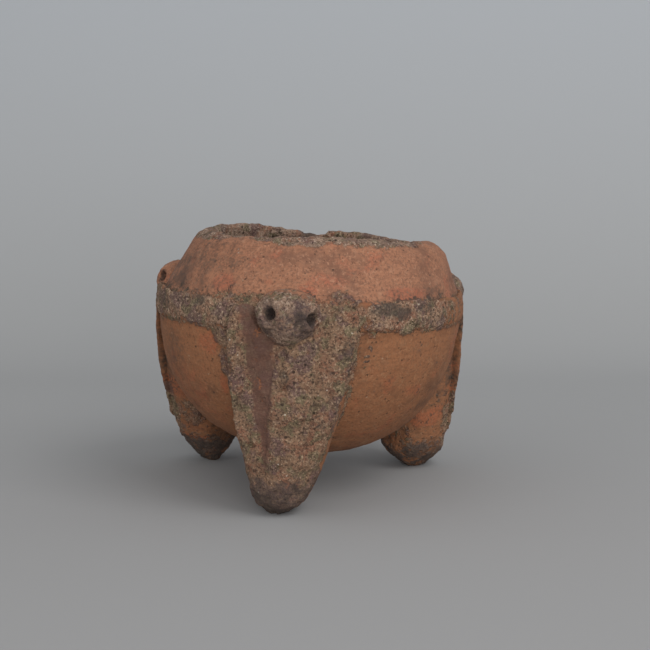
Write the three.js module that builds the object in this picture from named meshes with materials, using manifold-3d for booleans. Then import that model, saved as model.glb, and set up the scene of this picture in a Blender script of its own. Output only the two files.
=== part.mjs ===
// Small clay tripod jar: a round-bottomed bowl, an inward-sloping shoulder and a worn lip,
// carried on three ribbed legs, each with an animal-head knob over it.
// Millimetres, +Z up, front leg towards -Y. The jar stands on its feet at Z = 0.

import * as THREE from 'three';
import { mergeVertices } from 'three/addons/utils/BufferGeometryUtils.js';
import Module from 'manifold-3d';

const wasm = await Module();
wasm.setup();

// General sizes
const clearance = 0.3; // joint gap between neighbouring pieces of clay
const overrun = 4; // how far a cutting shape reaches past what it cuts
const degree = Math.PI / 180;
const ringSegments = 48; // facets round the pot

// Bowl, a little fuller than a half sphere, with a thickened base
const bowlRadius = 49.4;
const bowlDepth = 50;
const bowlFullness = 2.3; // 2 is a round bowl, more is fuller below
const bowlWall = 6;
const bowlFloor = 7.4;
const seamHeight = 61.2; // height of the widest line, where the shoulder is joined on
const seamRake = 2.2; // how much lower the inner edge of the joint lies
const bowlRings = 9;

// Shoulder, from the seam up to the seat of the lip
const shoulderRise = 16.4;
const shoulderWall = 6;
const shoulderCrown = 0.8; // pull of the outer line outwards at mid height
const shoulderRings = 4;
const mouthDrift = 2; // the mouth sits off the bowl's centre, towards +X

// Lip, the stump of a neck, leaning in and worn to an uneven round edge
const mouthInset = 7.6; // how much smaller the radius at the lip's seat is than the bowl's
const lipHeight = 6.6;
const lipLean = 6.6; // how far the crest lies inside the outer radius of the seat
const lipBendShare = 0.4; // share of that lean at the outer line's bend
const lipNose = 2.2; // how far the crest's inner round hangs over
const lipWear = 4.8; // deepest wear of the lip
const lipRings = 4;
// Wear round the lip, from +X counter-clockwise, as shares of the deepest wear
const lipWearShares = [
  0.62, 0.77, 0.97, 1, 0.8, 0.7, 0.7, 1, 0.42, 0.18, 0.1, 0.08,
  0.04, 0.1, 0.28, 0.45, 0.34, 0.27, 0.26, 0.16, 0.26, 0.4, 0.5, 0.56,
];

// Legs: broad at the seam, narrowing to a rounded toe with a small flat sole
const legTopRise = 0.4; // how far the leg's upper end reaches past the seam
const legHalfWidth = 19.8;
const legHalfDepth = 9.6;
const legProud = 1.5; // how far the leg's outer face stands out of the bowl at its top
const legBelly = 1.6; // how far the outer face swells half way down
const legWidthPower = 0.4; // power of the height that the half width follows
const legDepthPower = 0.05; // power of the height that the half depth follows
const toeTipShare = 0.004; // share of the leg's length where its lowest section lies
const toeRoundPower = 1.7; // how full the toe is between its sole and the ankle
const toeRings = 4;
const toeRingPower = 1.4; // crowds the toe's sections towards the sole
const legSquareness = 2.5; // 2 is an ellipse, more is squarer
const legRings = 7;
const legSegments = 16;

// Ribs, one roll of clay along each side edge of a leg
const ribTopRise = 3.2; // how far a rib's upper end reaches past the seam
const ribFoot = 17; // height of its lower end
const ribFootShare = 0.45; // its width there, as a share of its width above
const ribHalfWidth = 6.2;
const ribProud = 1.7; // how far a rib stands out of the leg
const ribPlaceShare = 0.74; // how far out on the leg's half width a rib lies
const ribRings = 8;
const rollSegments = 10;
const rollEndShare = 0.12; // how blunt a roll's ends are

// Spine, the middle ridge of a leg
const spineTopDrop = 6.2; // how far below the seam its upper end lies
const spineFoot = 4.5;
const spineFootShare = 0.6;
const spineHalfWidth = 7.6;
const spineProud = 2;
const spinePlaceShare = 0.12; // the spine lies a little to one side
const spineRings = 8;

// Heads
const headRise = 1.4; // how far a head's centre lies above the seam
const leftHeadRise = 2.25;
const frontHeadProud = 2.8; // how far its centre stands out of the widest line
const rightHeadProud = 4;
const leftHeadProud = 0.25;
const headHalfWidth = 9.4;
const frontHeadCrown = 6.6; // from its centre up to the crown
const headCrown = 7.8;
const headChin = 9.8; // from its centre down to the chin
const headHalfDepth = 5.8;
const chinShare = 0.5; // how much the face narrows towards the chin
const snoutProud = 1.1; // the bridge between the eyes
const snoutShare = 0.33; // its half width as a share of the head's
const eyeSpread = 6.8; // half the distance between the eyes
const eyeShift = 2.2; // how far their middle lies to one side of the face
const eyeSlope = 0.7; // how much lower the eye on that side is, and higher the other one
const frontEyeRise = -1; // how far the eyes lie above the middle of the front head
const rightEyeRise = 1.2;
const leftEyeRise = 3.6;
const eyeRadius = 2.2;
const eyeTip = 0.9; // radius at the bottom of an eye's hole
const eyeDepth = 2.8;
const eyeSegments = 8;
const headSegments = 18;
const headRings = 9;

// Band of clay over the seam, between the legs
const bandHalfHeight = 4.4;
const bandProud = 1.3;
const bandTuck = 2.9; // how far a band reaches in past the side of a leg
const bandSegments = 8;

// Toes: how far each one's outer face stands out past the widest line, how far it would reach
// below the floor if it were not rubbed flat, the height below which it is rounded, the sole's size
// as a share of the leg's section, how far the sole lies inwards of that section's middle, and each
// leg's thickness as a share of the front one's
const frontToeReach = -3.2;
const frontToeDepth = 2;
const frontAnkle = 4;
const frontSoleShare = 0.6;
const rightToeReach = 4.4;
const rightToeDepth = 6.5;
const rightAnkle = 8.3;
const rightSoleShare = 0.3;
const rightSoleTuck = -1.2;
const rightDepthShare = 1.16;
const leftToeReach = 8.4;
const leftToeDepth = 3;
const leftAnkle = 12;
const leftSoleShare = 0.34;
const leftSoleTuck = 2.8;
const leftDepthShare = 1.12;

// The three legs: direction of the leg, swing of the head and of the toe round the pot from there,
// and the head's place over the leg
const legPlaces = [
  {
    side: 'front',
    turn: degree,
    headSwing: -2.3 * degree,
    headRise,
    headProud: frontHeadProud,
    headCrown: frontHeadCrown,
    toeSwing: -5 * degree,
    toeReach: frontToeReach,
    toeDepth: frontToeDepth,
    ankle: frontAnkle,
    soleShare: frontSoleShare,
    soleTuck: 0,
    depthShare: 1,
    eyeRise: frontEyeRise,
  },
  {
    side: 'right',
    turn: 126 * degree,
    headSwing: 0,
    headRise,
    headProud: rightHeadProud,
    headCrown,
    toeSwing: -2 * degree,
    toeReach: rightToeReach,
    toeDepth: rightToeDepth,
    ankle: rightAnkle,
    soleShare: rightSoleShare,
    soleTuck: rightSoleTuck,
    depthShare: rightDepthShare,
    eyeRise: rightEyeRise,
  },
  {
    side: 'left',
    turn: -114 * degree,
    headSwing: 8 * degree,
    headRise: leftHeadRise,
    headProud: leftHeadProud,
    headCrown,
    toeSwing: -12 * degree,
    toeReach: leftToeReach,
    toeDepth: leftToeDepth,
    ankle: leftAnkle,
    soleShare: leftSoleShare,
    soleTuck: leftSoleTuck,
    depthShare: leftDepthShare,
    eyeRise: leftEyeRise,
  },
];
const bandPlaces = [
  { side: 'front_right', from: 0, to: 1 },
  { side: 'back', from: 1, to: 2 },
  { side: 'front_left', from: 2, to: 0 },
];
const potLean = 1.8 * degree; // the jar leans towards +X

// Colours of the clay
const slipMaterial = { color: 0x9a6a52, roughness: 0.85, metalness: 0 };
const bowlMaterial = { color: 0x7f5842, roughness: 0.85, metalness: 0 };
const coarseMaterial = { color: 0x6a594b, roughness: 0.95, metalness: 0 };
const paintedMaterial = { color: 0x554845, roughness: 0.8, metalness: 0 };

// Turns a closed geometry into a solid that can be cut and joined
function solid(geometry) {
  const bare = geometry.index ? geometry.toNonIndexed() : geometry.clone();
  bare.deleteAttribute('normal');
  bare.deleteAttribute('uv');
  const welded = mergeVertices(bare);
  const corners = welded.index.array;
  const kept = [];
  for (let i = 0; i < corners.length; i += 3) {
    const [a, b, c] = [corners[i], corners[i + 1], corners[i + 2]];
    if (a !== b && b !== c && c !== a) {
      kept.push(a, b, c);
    }
  }
  return new wasm.Manifold(new wasm.Mesh({
    numProp: 3,
    vertProperties: new Float32Array(welded.attributes.position.array),
    triVerts: new Uint32Array(kept),
  }));
}

// Turns a solid back into a geometry
function geometryOf(body) {
  const mesh = body.getMesh();
  const geometry = new THREE.BufferGeometry();
  geometry.setAttribute('position', new THREE.BufferAttribute(mesh.vertProperties, 3));
  geometry.setIndex(new THREE.BufferAttribute(mesh.triVerts, 1));
  geometry.computeVertexNormals();
  return geometry;
}

// Point on a section whose corners are squarer than an ellipse's; both shares lie in -1 to 1
function sectionPoint(angle, squareness) {
  const power = 2 / squareness;
  const across = Math.sign(Math.cos(angle)) * Math.abs(Math.cos(angle)) ** power;
  const out = Math.sign(Math.sin(angle)) * Math.abs(Math.sin(angle)) ** power;
  return [across, out];
}

// Skin over a row of sections. Each section has a centre, a sideways and an outward direction,
// a half width and a half depth.
function loft(sections, segments, squareness = 2) {
  const positions = [];
  const faces = [];
  for (const section of sections) {
    for (let i = 0; i < segments; i += 1) {
      const [across, out] = sectionPoint(2 * Math.PI * i / segments, squareness);
      const point = section.centre.clone()
        .addScaledVector(section.side, across * section.halfWidth)
        .addScaledVector(section.out, out * section.halfDepth);
      positions.push(...point);
    }
  }
  const last = sections.length - 1;
  for (let row = 0; row < last; row += 1) {
    for (let i = 0; i < segments; i += 1) {
      const next = (i + 1) % segments;
      const [a, b] = [row * segments + i, row * segments + next];
      const [c, d] = [a + segments, b + segments];
      faces.push(a, b, d, a, d, c);
    }
  }
  const first = positions.length / 3;
  positions.push(...sections[0].centre, ...sections[last].centre);
  for (let i = 0; i < segments; i += 1) {
    const next = (i + 1) % segments;
    faces.push(first, next, i);
    faces.push(first + 1, last * segments + i, last * segments + next);
  }
  const travel = sections[last].centre.clone().sub(sections[0].centre);
  const facesIn = sections[0].side.clone().cross(sections[0].out).dot(travel) < 0;
  const geometry = new THREE.BufferGeometry();
  geometry.setAttribute('position', new THREE.Float32BufferAttribute(positions, 3));
  geometry.setIndex(facesIn ? faces.reverse() : faces);
  return geometry;
}

// Turned shape about the pot's axis from a profile of radius and height
function turned(profile) {
  return new THREE.LatheGeometry(profile, ringSegments).rotateX(Math.PI / 2);
}

// Slides what lies above the seam sideways, fully at the mouth
function driftMouth(geometry) {
  const position = geometry.attributes.position;
  for (let i = 0; i < position.count; i += 1) {
    const share = Math.max(0, position.getZ(i) - seamHeight) / shoulderRise;
    position.setX(i, position.getX(i) + mouthDrift * share);
  }
  return geometry;
}

// Points of the bowl's round side from the bottom pole up to the seam
function bowlArc(radius, bottom, top) {
  const points = [];
  for (let i = 0; i <= bowlRings; i += 1) {
    const angle = Math.PI / 2 * i / bowlRings;
    const [down, across] = sectionPoint(angle, bowlFullness);
    points.push(new THREE.Vector2(radius * across, top - (top - bottom) * down));
  }
  return points;
}

function bowlShape() {
  const outer = bowlArc(bowlRadius, seamHeight - bowlDepth, seamHeight);
  const floorLevel = seamHeight - bowlDepth + bowlFloor;
  const inner = bowlArc(bowlRadius - bowlWall, floorLevel, seamHeight - seamRake);
  return solid(turned([...outer, ...inner.reverse()]));
}

const mouthRadius = bowlRadius - mouthInset;

// Outer line of the shoulder as a curve of radius and height, moved out by grow
function shoulderLine(grow) {
  const foot = new THREE.Vector2(bowlRadius + grow, seamHeight);
  const top = new THREE.Vector2(mouthRadius + grow, seamHeight + shoulderRise);
  const bulge = foot.clone().add(top).multiplyScalar(0.5);
  bulge.x += shoulderCrown;
  return new THREE.QuadraticBezierCurve(foot, bulge, top);
}

function shoulderShape() {
  const outer = shoulderLine(0).getPoints(shoulderRings);
  const inner = shoulderLine(-shoulderWall).getPoints(shoulderRings);
  outer[0].y += clearance;
  inner[0].y += clearance - seamRake;
  return solid(driftMouth(turned([...outer, ...inner.reverse(), outer[0].clone()])));
}

// Depth of wear at a place round the lip, as a smooth share between the listed places
function wearAt(angle) {
  const places = lipWearShares.length;
  const place = (angle / (2 * Math.PI) + 1) % 1 * places;
  const before = Math.floor(place) % places;
  const share = place - Math.floor(place);
  const ease = share * share * (3 - 2 * share);
  return THREE.MathUtils.lerp(lipWearShares[before], lipWearShares[(before + 1) % places], ease);
}

function lipShape() {
  const seat = seamHeight + shoulderRise + clearance;
  const crest = seat + lipHeight;
  const outside = new THREE.Vector2(mouthRadius, seat);
  const corner = new THREE.Vector2(mouthRadius - lipLean * lipBendShare, crest);
  const top = new THREE.Vector2(mouthRadius - lipLean, crest);
  const nose = new THREE.Vector2(mouthRadius - lipLean - lipNose, crest);
  const inside = new THREE.Vector2(mouthRadius - shoulderWall, seat);
  const outer = new THREE.QuadraticBezierCurve(outside, corner, top).getPoints(lipRings);
  const inner = new THREE.QuadraticBezierCurve(top, nose, inside).getPoints(lipRings);
  const geometry = turned([...outer, ...inner.slice(1), outside.clone()]);
  const position = geometry.attributes.position;
  for (let i = 0; i < position.count; i += 1) {
    const [x, y, z] = [position.getX(i), position.getY(i), position.getZ(i)];
    const wear = lipWear * wearAt(Math.atan2(y, x)) * (z - seat) / lipHeight;
    position.setXYZ(i, x + mouthDrift, y, z - wear);
  }
  return solid(geometry);
}

// Outside of the bowl and shoulder as one full body, moved out by grow, for cutting what seats on it
function potBody(grow) {
  const lower = bowlArc(bowlRadius + grow, seamHeight - bowlDepth - grow, seamHeight);
  const upper = shoulderLine(grow).getPoints(shoulderRings);
  const lid = new THREE.Vector2(0, seamHeight + shoulderRise);
  return solid(driftMouth(turned([...lower, ...upper.slice(1), lid])));
}

// Directions at a place round the pot: out from the axis, and sideways to the right of it
function directions(turn) {
  const out = new THREE.Vector3(Math.sin(turn), -Math.cos(turn), 0);
  const side = new THREE.Vector3(Math.cos(turn), Math.sin(turn), 0);
  return { out, side };
}

const legTop = seamHeight + legTopRise;

// Size and place of a leg's section at a height, before its toe is rounded
function plainLegSection(place, height) {
  const length = legTop + place.toeDepth;
  const share = Math.max(0, height + place.toeDepth) / length;
  const { out, side } = directions(place.turn + place.toeSwing * (1 - share));
  const halfWidth = legHalfWidth * share ** legWidthPower;
  const halfDepth = legHalfDepth * place.depthShare * share ** legDepthPower;
  const belly = legBelly * 4 * share * (1 - share);
  const reach = THREE.MathUtils.lerp(place.toeReach, legProud, share ** legWidthPower);
  const face = bowlRadius + reach + belly;
  const centre = out.clone().multiplyScalar(face - halfDepth);
  centre.z = height;
  return { centre, out, side, halfWidth, halfDepth };
}

// Height of the floor under a leg's toe, as seen from the leaning pot
function soleLevel(place) {
  return plainLegSection(place, 0).centre.x * Math.tan(potLean);
}

// Size and place of a leg's section at a height, rounded below the ankle
function legSection(place, height, grow) {
  const section = plainLegSection(place, height);
  const rise = THREE.MathUtils.clamp((height - soleLevel(place)) / place.ankle, 0, 1);
  const width = THREE.MathUtils.lerp(place.soleShare, 1, 1 - (1 - rise) ** toeRoundPower);
  section.centre.addScaledVector(section.out, -place.soleTuck * (1 - rise));
  section.halfWidth = section.halfWidth * width + grow;
  section.halfDepth = section.halfDepth * width + grow;
  return section;
}

// Heights of a leg's sections: one below the floor, then the toe's, then the rest
function legHeights(place) {
  const sole = soleLevel(place);
  const heights = [THREE.MathUtils.lerp(-place.toeDepth, legTop, toeTipShare)];
  for (let i = 0; i <= toeRings; i += 1) {
    heights.push(sole + place.ankle * (i / toeRings) ** toeRingPower);
  }
  for (let i = 1; i <= legRings; i += 1) {
    heights.push(THREE.MathUtils.lerp(sole + place.ankle, legTop, i / legRings));
  }
  return heights;
}

function legShape(place, grow = 0) {
  const sections = legHeights(place).map((height) => legSection(place, height, grow));
  sections[sections.length - 1].centre.z += grow;
  return solid(loft(sections, legSegments, legSquareness));
}

// Point on a leg's outer face, across by a share of its half width
function legFacePoint(place, height, acrossShare) {
  const section = legSection(place, Math.min(height, legTop), 0);
  const rise = (1 - Math.abs(acrossShare) ** legSquareness) ** (1 / legSquareness);
  const point = section.centre.clone()
    .addScaledVector(section.side, acrossShare * section.halfWidth)
    .addScaledVector(section.out, rise * section.halfDepth);
  point.z = height;
  return { point, section };
}

// Roll of clay lying on a leg's face from one height to another, with round tapering ends
function rollShape(place, roll, grow) {
  const sections = [];
  for (let i = 0; i <= roll.rings; i += 1) {
    const angle = Math.PI * i / roll.rings;
    const share = (1 - Math.cos(angle)) / 2;
    const height = THREE.MathUtils.lerp(roll.foot, roll.top, share);
    const { point, section } = legFacePoint(place, height, roll.acrossShare);
    const swell = Math.sqrt(Math.max(Math.sin(angle), rollEndShare));
    const taper = THREE.MathUtils.lerp(roll.footShare, 1, share);
    sections.push({
      centre: point,
      out: section.out,
      side: section.side,
      halfWidth: roll.halfWidth * swell * taper + grow,
      halfDepth: roll.proud * swell * (1 + taper) / 2 + grow,
    });
  }
  sections[0].centre.z -= grow;
  sections[roll.rings].centre.z += grow;
  return solid(loft(sections, rollSegments));
}

function ribShape(place, hand, grow = 0) {
  const rib = {
    foot: ribFoot,
    top: seamHeight + ribTopRise,
    rings: ribRings,
    acrossShare: hand * ribPlaceShare,
    halfWidth: ribHalfWidth,
    proud: ribProud,
    footShare: ribFootShare,
  };
  return rollShape(place, rib, grow);
}

function spineShape(place, grow = 0) {
  const spine = {
    foot: spineFoot,
    top: seamHeight - spineTopDrop,
    rings: spineRings,
    acrossShare: spinePlaceShare,
    halfWidth: spineHalfWidth,
    proud: spineProud,
    footShare: spineFootShare,
  };
  return rollShape(place, spine, grow);
}

// Puts a geometry made about the origin, facing -Y, onto the pot over a leg
function placeHead(geometry, place) {
  const turn = place.turn + place.headSwing;
  const { out } = directions(turn);
  geometry.rotateZ(turn);
  const reach = bowlRadius + place.headProud;
  geometry.translate(out.x * reach, out.y * reach, seamHeight + place.headRise);
  return geometry;
}

// Knob with a round crown, narrowing to the chin, with a low bridge between the eyes
function headShape(place, grow = 0) {
  const geometry = new THREE.SphereGeometry(1, headSegments, headRings).rotateX(Math.PI / 2);
  const position = geometry.attributes.position;
  for (let i = 0; i < position.count; i += 1) {
    const [x, y, z] = [position.getX(i), position.getY(i), position.getZ(i)];
    const narrowing = 1 - chinShare * Math.max(0, -z) ** 2;
    const bridge = snoutProud * Math.max(0, -y) * Math.max(0, 1 - Math.abs(x) / snoutShare);
    const rise = z > 0 ? place.headCrown : headChin;
    position.setXYZ(
      i,
      x * (headHalfWidth * narrowing + grow),
      y * (headHalfDepth + grow) - bridge,
      z * (rise + grow),
    );
  }
  return solid(placeHead(geometry, place));
}

// Conical hole left by the stick that punched an eye
function eyeCutter(place, hand) {
  const length = eyeDepth + overrun;
  const hole = new THREE.CylinderGeometry(eyeTip, eyeRadius, length, eyeSegments);
  hole.translate(0, eyeDepth - length / 2, 0);
  const aside = hand * eyeSpread + eyeShift;
  const mouthDepth = headHalfDepth * Math.sqrt(1 - (aside / headHalfWidth) ** 2);
  hole.rotateZ(Math.atan2(aside / headHalfWidth ** 2, mouthDepth / headHalfDepth ** 2));
  hole.translate(aside, -mouthDepth, place.eyeRise - hand * eyeSlope);
  return solid(placeHead(hole, place));
}

const bandEndGap = Math.asin((legHalfWidth - bandTuck) / bowlRadius);

// Strip of clay over the seam, from one leg to the next
function bandShape(start, end) {
  const sections = [];
  const steps = Math.round((end - start) / (2 * Math.PI / ringSegments));
  for (let i = 0; i <= steps; i += 1) {
    const { out } = directions(THREE.MathUtils.lerp(start, end, i / steps));
    const centre = out.clone().multiplyScalar(bowlRadius);
    centre.z = seamHeight;
    sections.push({
      centre,
      side: new THREE.Vector3(0, 0, 1),
      out,
      halfWidth: bandHalfHeight,
      halfDepth: bandProud,
    });
  }
  return solid(loft(sections, bandSegments));
}

const material = (look) => new THREE.MeshStandardMaterial(look);
const pot = new THREE.Group();

function addPiece(name, body, look) {
  const mesh = new THREE.Mesh(geometryOf(body), material(look));
  mesh.name = name;
  pot.add(mesh);
}

// The floor as seen from the leaning pot: everything below it is trimmed off the feet
const floorSize = 4 * bowlRadius;
const floorBox = new THREE.BoxGeometry(floorSize, floorSize, floorSize);
floorBox.translate(0, 0, -floorSize / 2);
floorBox.rotateY(-potLean);
const floorCutter = solid(floorBox);

addPiece('bowl', bowlShape(), bowlMaterial);
addPiece('shoulder', shoulderShape(), slipMaterial);
addPiece('mouth_lip', lipShape(), paintedMaterial);

const seat = potBody(clearance);
const legCutters = [];
for (const place of legPlaces) {
  const leg = legShape(place).subtract(seat).subtract(floorCutter);
  const legCutter = legShape(place, clearance);
  const head = headShape(place);
  const headCutter = headShape(place, clearance);
  const eyes = [-1, 1].map((hand) => eyeCutter(place, hand));
  addPiece(`leg_${place.side}`, leg, coarseMaterial);
  addPiece(
    `effigy_head_${place.side}`,
    head.subtract(seat).subtract(legCutter).subtract(eyes[0]).subtract(eyes[1]),
    paintedMaterial,
  );
  const spine = spineShape(place).subtract(seat).subtract(legCutter).subtract(headCutter);
  addPiece(`leg_spine_${place.side}`, spine.subtract(floorCutter), coarseMaterial);
  const cutters = [legCutter, headCutter];
  for (const [hand, word] of [[-1, 'left'], [1, 'right']]) {
    const rib = ribShape(place, hand).subtract(seat).subtract(legCutter).subtract(headCutter);
    const spineCutter = spineShape(place, clearance);
    addPiece(`leg_rib_${place.side}_${word}`, rib.subtract(spineCutter), coarseMaterial);
    cutters.push(ribShape(place, hand, clearance));
  }
  legCutters.push(cutters);
}

for (const place of bandPlaces) {
  const start = legPlaces[place.from].turn + bandEndGap;
  let end = legPlaces[place.to].turn - bandEndGap;
  if (end < start) {
    end += 2 * Math.PI;
  }
  let band = bandShape(start, end).subtract(seat);
  for (const cutter of [...legCutters[place.from], ...legCutters[place.to]]) {
    band = band.subtract(cutter);
  }
  addPiece(`seam_band_${place.side}`, band, coarseMaterial);
}

// Stand the pot on its feet, leaning, with the middle of its outline over the origin
pot.rotation.y = potLean;
pot.updateMatrixWorld(true);
const outline = new THREE.Box3().setFromObject(pot, true);
const middle = outline.getCenter(new THREE.Vector3());
pot.position.set(-middle.x, -middle.y, 0);

const olla = new THREE.Group();
olla.add(pot);

export default olla;
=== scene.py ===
"""Looks of a small clay tripod jar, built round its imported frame.

The jar is modelled in millimetres about its own upright axis, then set down leaning on its feet
as the frame has it, joined with fillets of clay, dressed, and turned into metres at the end.
The front leg points towards -Y. A turn is an angle round the jar from the front, towards +X.
"""

from __future__ import annotations

import logging
import math
from collections.abc import Iterable, Iterator, Sequence
from contextlib import contextmanager
from dataclasses import dataclass, field, replace
from enum import Enum

import bmesh
import bpy
import numpy as np
from mathutils import Matrix, Vector
from mathutils.bvhtree import BVHTree

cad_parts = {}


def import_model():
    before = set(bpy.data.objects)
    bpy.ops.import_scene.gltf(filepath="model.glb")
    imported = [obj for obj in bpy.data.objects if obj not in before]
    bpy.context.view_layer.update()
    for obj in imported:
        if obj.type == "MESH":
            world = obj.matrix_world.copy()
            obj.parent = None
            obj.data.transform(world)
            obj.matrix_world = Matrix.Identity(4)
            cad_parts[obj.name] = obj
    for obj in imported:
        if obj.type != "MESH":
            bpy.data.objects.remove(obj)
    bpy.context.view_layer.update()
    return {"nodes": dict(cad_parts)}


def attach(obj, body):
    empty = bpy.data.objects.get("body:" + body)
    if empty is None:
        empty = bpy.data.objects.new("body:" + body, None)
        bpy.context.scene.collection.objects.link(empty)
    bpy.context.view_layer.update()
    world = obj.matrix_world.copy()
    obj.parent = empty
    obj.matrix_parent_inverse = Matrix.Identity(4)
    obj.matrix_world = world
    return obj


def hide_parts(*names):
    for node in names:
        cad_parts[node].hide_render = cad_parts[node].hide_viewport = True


LOG = logging.getLogger("tripod_jar")
MILLIMETRE = 0.001
PHOTO_SIDE = 650

BOWL_RADIUS = 49.4
SEAM = 61.2
# Largest gap at which a piece feels its neighbour.
FEEL = 4.0
# Sizes of the faces of kneaded skins.
LIMB_GRAIN = 0.55
ROLL_GRAIN = 0.5
HEAD_GRAIN = 0.38
SMOOTH_ANGLE = math.radians(60.0)

Piece = bpy.types.Object
Points = np.ndarray
Values = np.ndarray
Socket = bpy.types.NodeSocket
Tone = tuple[float, float, float, float]


# Small sums shared by the pieces


def ease(value: Values | float, low: float, high: float) -> Values:
    """Smooth step.

    Args:
        value: The values to ease.
        low: Where the result leaves nought.
        high: Where the result reaches one.

    Returns:
        The eased values.
    """
    share = np.clip((np.asarray(value, dtype=float) - low) / (high - low), 0.0, 1.0)
    return share * share * (3.0 - 2.0 * share)


def spot(value: Values, middle: float, reach: float) -> Values:
    """Soft bump of one at a middle value that fades out over a reach."""
    return 1.0 - ease(np.abs(value - middle), 0.0, reach)


def off_turn(turns: Values, middle: float) -> Values:
    """Turns counted from a middle one, from -180 to 180 degrees."""
    return (turns - middle + 180.0) % 360.0 - 180.0


def squircle(angle: float, squareness: float) -> tuple[float, float]:
    """Point on a round section whose corners may be fuller than an ellipse's.

    Args:
        angle: Angle round the section, in radians.
        squareness: 2 for an ellipse, more for fuller corners.

    Returns:
        The point's two coordinates, each between -1 and 1.
    """
    power = 2.0 / squareness
    across = math.copysign(abs(math.cos(angle)) ** power, math.cos(angle))
    out = math.copysign(abs(math.sin(angle)) ** power, math.sin(angle))
    return across, out


def bezier(start: Vector, bend: Vector, end: Vector, count: int = 24) -> list[Vector]:
    """Points along a curve with one bend.

    Args:
        start: First point.
        bend: Point that pulls the curve.
        end: Last point.
        count: Number of steps.

    Returns:
        The points, both ends included.
    """
    shares = [i / count for i in range(count + 1)]
    return [start * (1 - t) ** 2 + bend * (2 * t * (1 - t)) + end * t**2 for t in shares]


def even_steps(line: Sequence[Vector], spacing: float) -> list[Vector]:
    """Points at even steps along a line.

    Args:
        line: The line's own points.
        spacing: Wanted length of a step.

    Returns:
        The evenly spaced points, both ends included.
    """
    lengths = [0.0]
    for before, after in zip(line, line[1:]):
        lengths.append(lengths[-1] + (after - before).length)
    count = max(2, round(lengths[-1] / spacing))
    wanted = np.linspace(0.0, lengths[-1], count + 1)
    across = np.interp(wanted, lengths, [p.x for p in line])
    up = np.interp(wanted, lengths, [p.y for p in line])
    return [Vector((a, b)) for a, b in zip(across, up)]


def directions(turn: float) -> tuple[Vector, Vector]:
    """Directions out from the axis and sideways to the right, at a turn in radians."""
    out = Vector((math.sin(turn), -math.cos(turn), 0.0))
    return out, Vector((math.cos(turn), math.sin(turn), 0.0))


def moved(places: Points, matrix: Matrix) -> Points:
    """Places, one row each, moved by a matrix."""
    rows = np.array(matrix)
    return places @ rows[:3, :3].T + rows[:3, 3]


def tone(red: int, green: int, blue: int) -> Tone:
    """Colour as seen on a screen, from 0 to 255, turned into light.

    Args:
        red: Its red.
        green: Its green.
        blue: Its blue.

    Returns:
        The linear colour with full cover.
    """
    shares = [value / 255.0 for value in (red, green, blue)]
    linear = [s / 12.92 if s <= 0.04045 else ((s + 0.055) / 1.055) ** 2.4 for s in shares]
    return (*linear, 1.0)


# Bench work on one piece at a time


def free_hands() -> None:
    """Leave edit mode and deselect everything."""
    if bpy.context.object and bpy.context.object.mode != "OBJECT":
        bpy.ops.object.mode_set(mode="OBJECT")
    bpy.ops.object.select_all(action="DESELECT")


def take(piece: Piece) -> None:
    """Make one piece the only selected and the active object."""
    free_hands()
    piece.select_set(True)
    bpy.context.view_layer.objects.active = piece


@contextmanager
def opened(piece: Piece, mode: str = "EDGE") -> Iterator[bmesh.types.BMesh]:
    """Open a piece's mesh with nothing selected, and close it afterwards.

    Args:
        piece: The piece to work on.
        mode: What is picked in it: VERT, EDGE or FACE.

    Yields:
        The open mesh.
    """
    take(piece)
    bpy.ops.object.mode_set(mode="EDIT")
    bpy.ops.mesh.select_mode(type=mode)
    bpy.ops.mesh.select_all(action="DESELECT")
    yield bmesh.from_edit_mesh(piece.data)
    bpy.ops.object.mode_set(mode="OBJECT")


def face_outward(threshold: float = 0.0) -> None:
    """Turn the open mesh's faces outward.

    Args:
        threshold: Points nearer than this are merged first.
    """
    bpy.ops.mesh.select_all(action="SELECT")
    if threshold:
        bpy.ops.mesh.remove_doubles(threshold=threshold)
    bpy.ops.mesh.normals_make_consistent(inside=False)


def read_points(piece: Piece, what: str) -> Points:
    """Places or directions of a piece's points.

    Args:
        piece: The piece.
        what: "co" for places, "normal" for directions.

    Returns:
        One row for each point.
    """
    rows = np.empty(len(piece.data.vertices) * 3)
    piece.data.vertices.foreach_get(what, rows)
    return rows.reshape(-1, 3)


def points_of(piece: Piece) -> Points:
    """Places of a piece's points, one row each."""
    return read_points(piece, "co")


def normals_of(piece: Piece) -> Points:
    """Outward directions at a piece's points, one row each."""
    return read_points(piece, "normal")


def rows_of(piece: Piece) -> Values:
    """Numbers on the turned line that the points of a wall come from.

    Args:
        piece: The wall.

    Returns:
        One number for each point.
    """
    rows = np.empty(len(piece.data.vertices), dtype=np.int32)
    piece.data.attributes["row"].data.foreach_get("value", rows)
    return rows


def move_points(piece: Piece, places: Points) -> None:
    """Put a piece's points at new places."""
    piece.data.vertices.foreach_set("co", places.ravel())
    piece.data.update()


def add_circle(name: str, count: int, fill: str, label: str) -> Piece:
    """Add a circle of points that are numbered in an attribute.

    Args:
        name: The new piece's name.
        count: Number of points.
        fill: How the circle is filled.
        label: The attribute's name.

    Returns:
        The circle.
    """
    free_hands()
    bpy.ops.mesh.primitive_circle_add(vertices=count, radius=1.0, fill_type=fill)
    piece = bpy.context.object
    piece.name = name
    numbers = piece.data.attributes.new(label, "INT", "POINT")
    numbers.data.foreach_set("value", list(range(count)))
    return piece


def finish_modifier(piece: Piece, kind: str, **settings: object) -> None:
    """Add a modifier with its settings and apply it at once.

    Args:
        piece: The piece to change.
        kind: The modifier's type.
        **settings: Values for the modifier's properties.
    """
    take(piece)
    bpy.ops.object.modifier_add(type=kind)
    modifier = piece.modifiers[-1]
    for name, value in settings.items():
        setattr(modifier, name, value)
    bpy.ops.object.modifier_apply(modifier=modifier.name)


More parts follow.
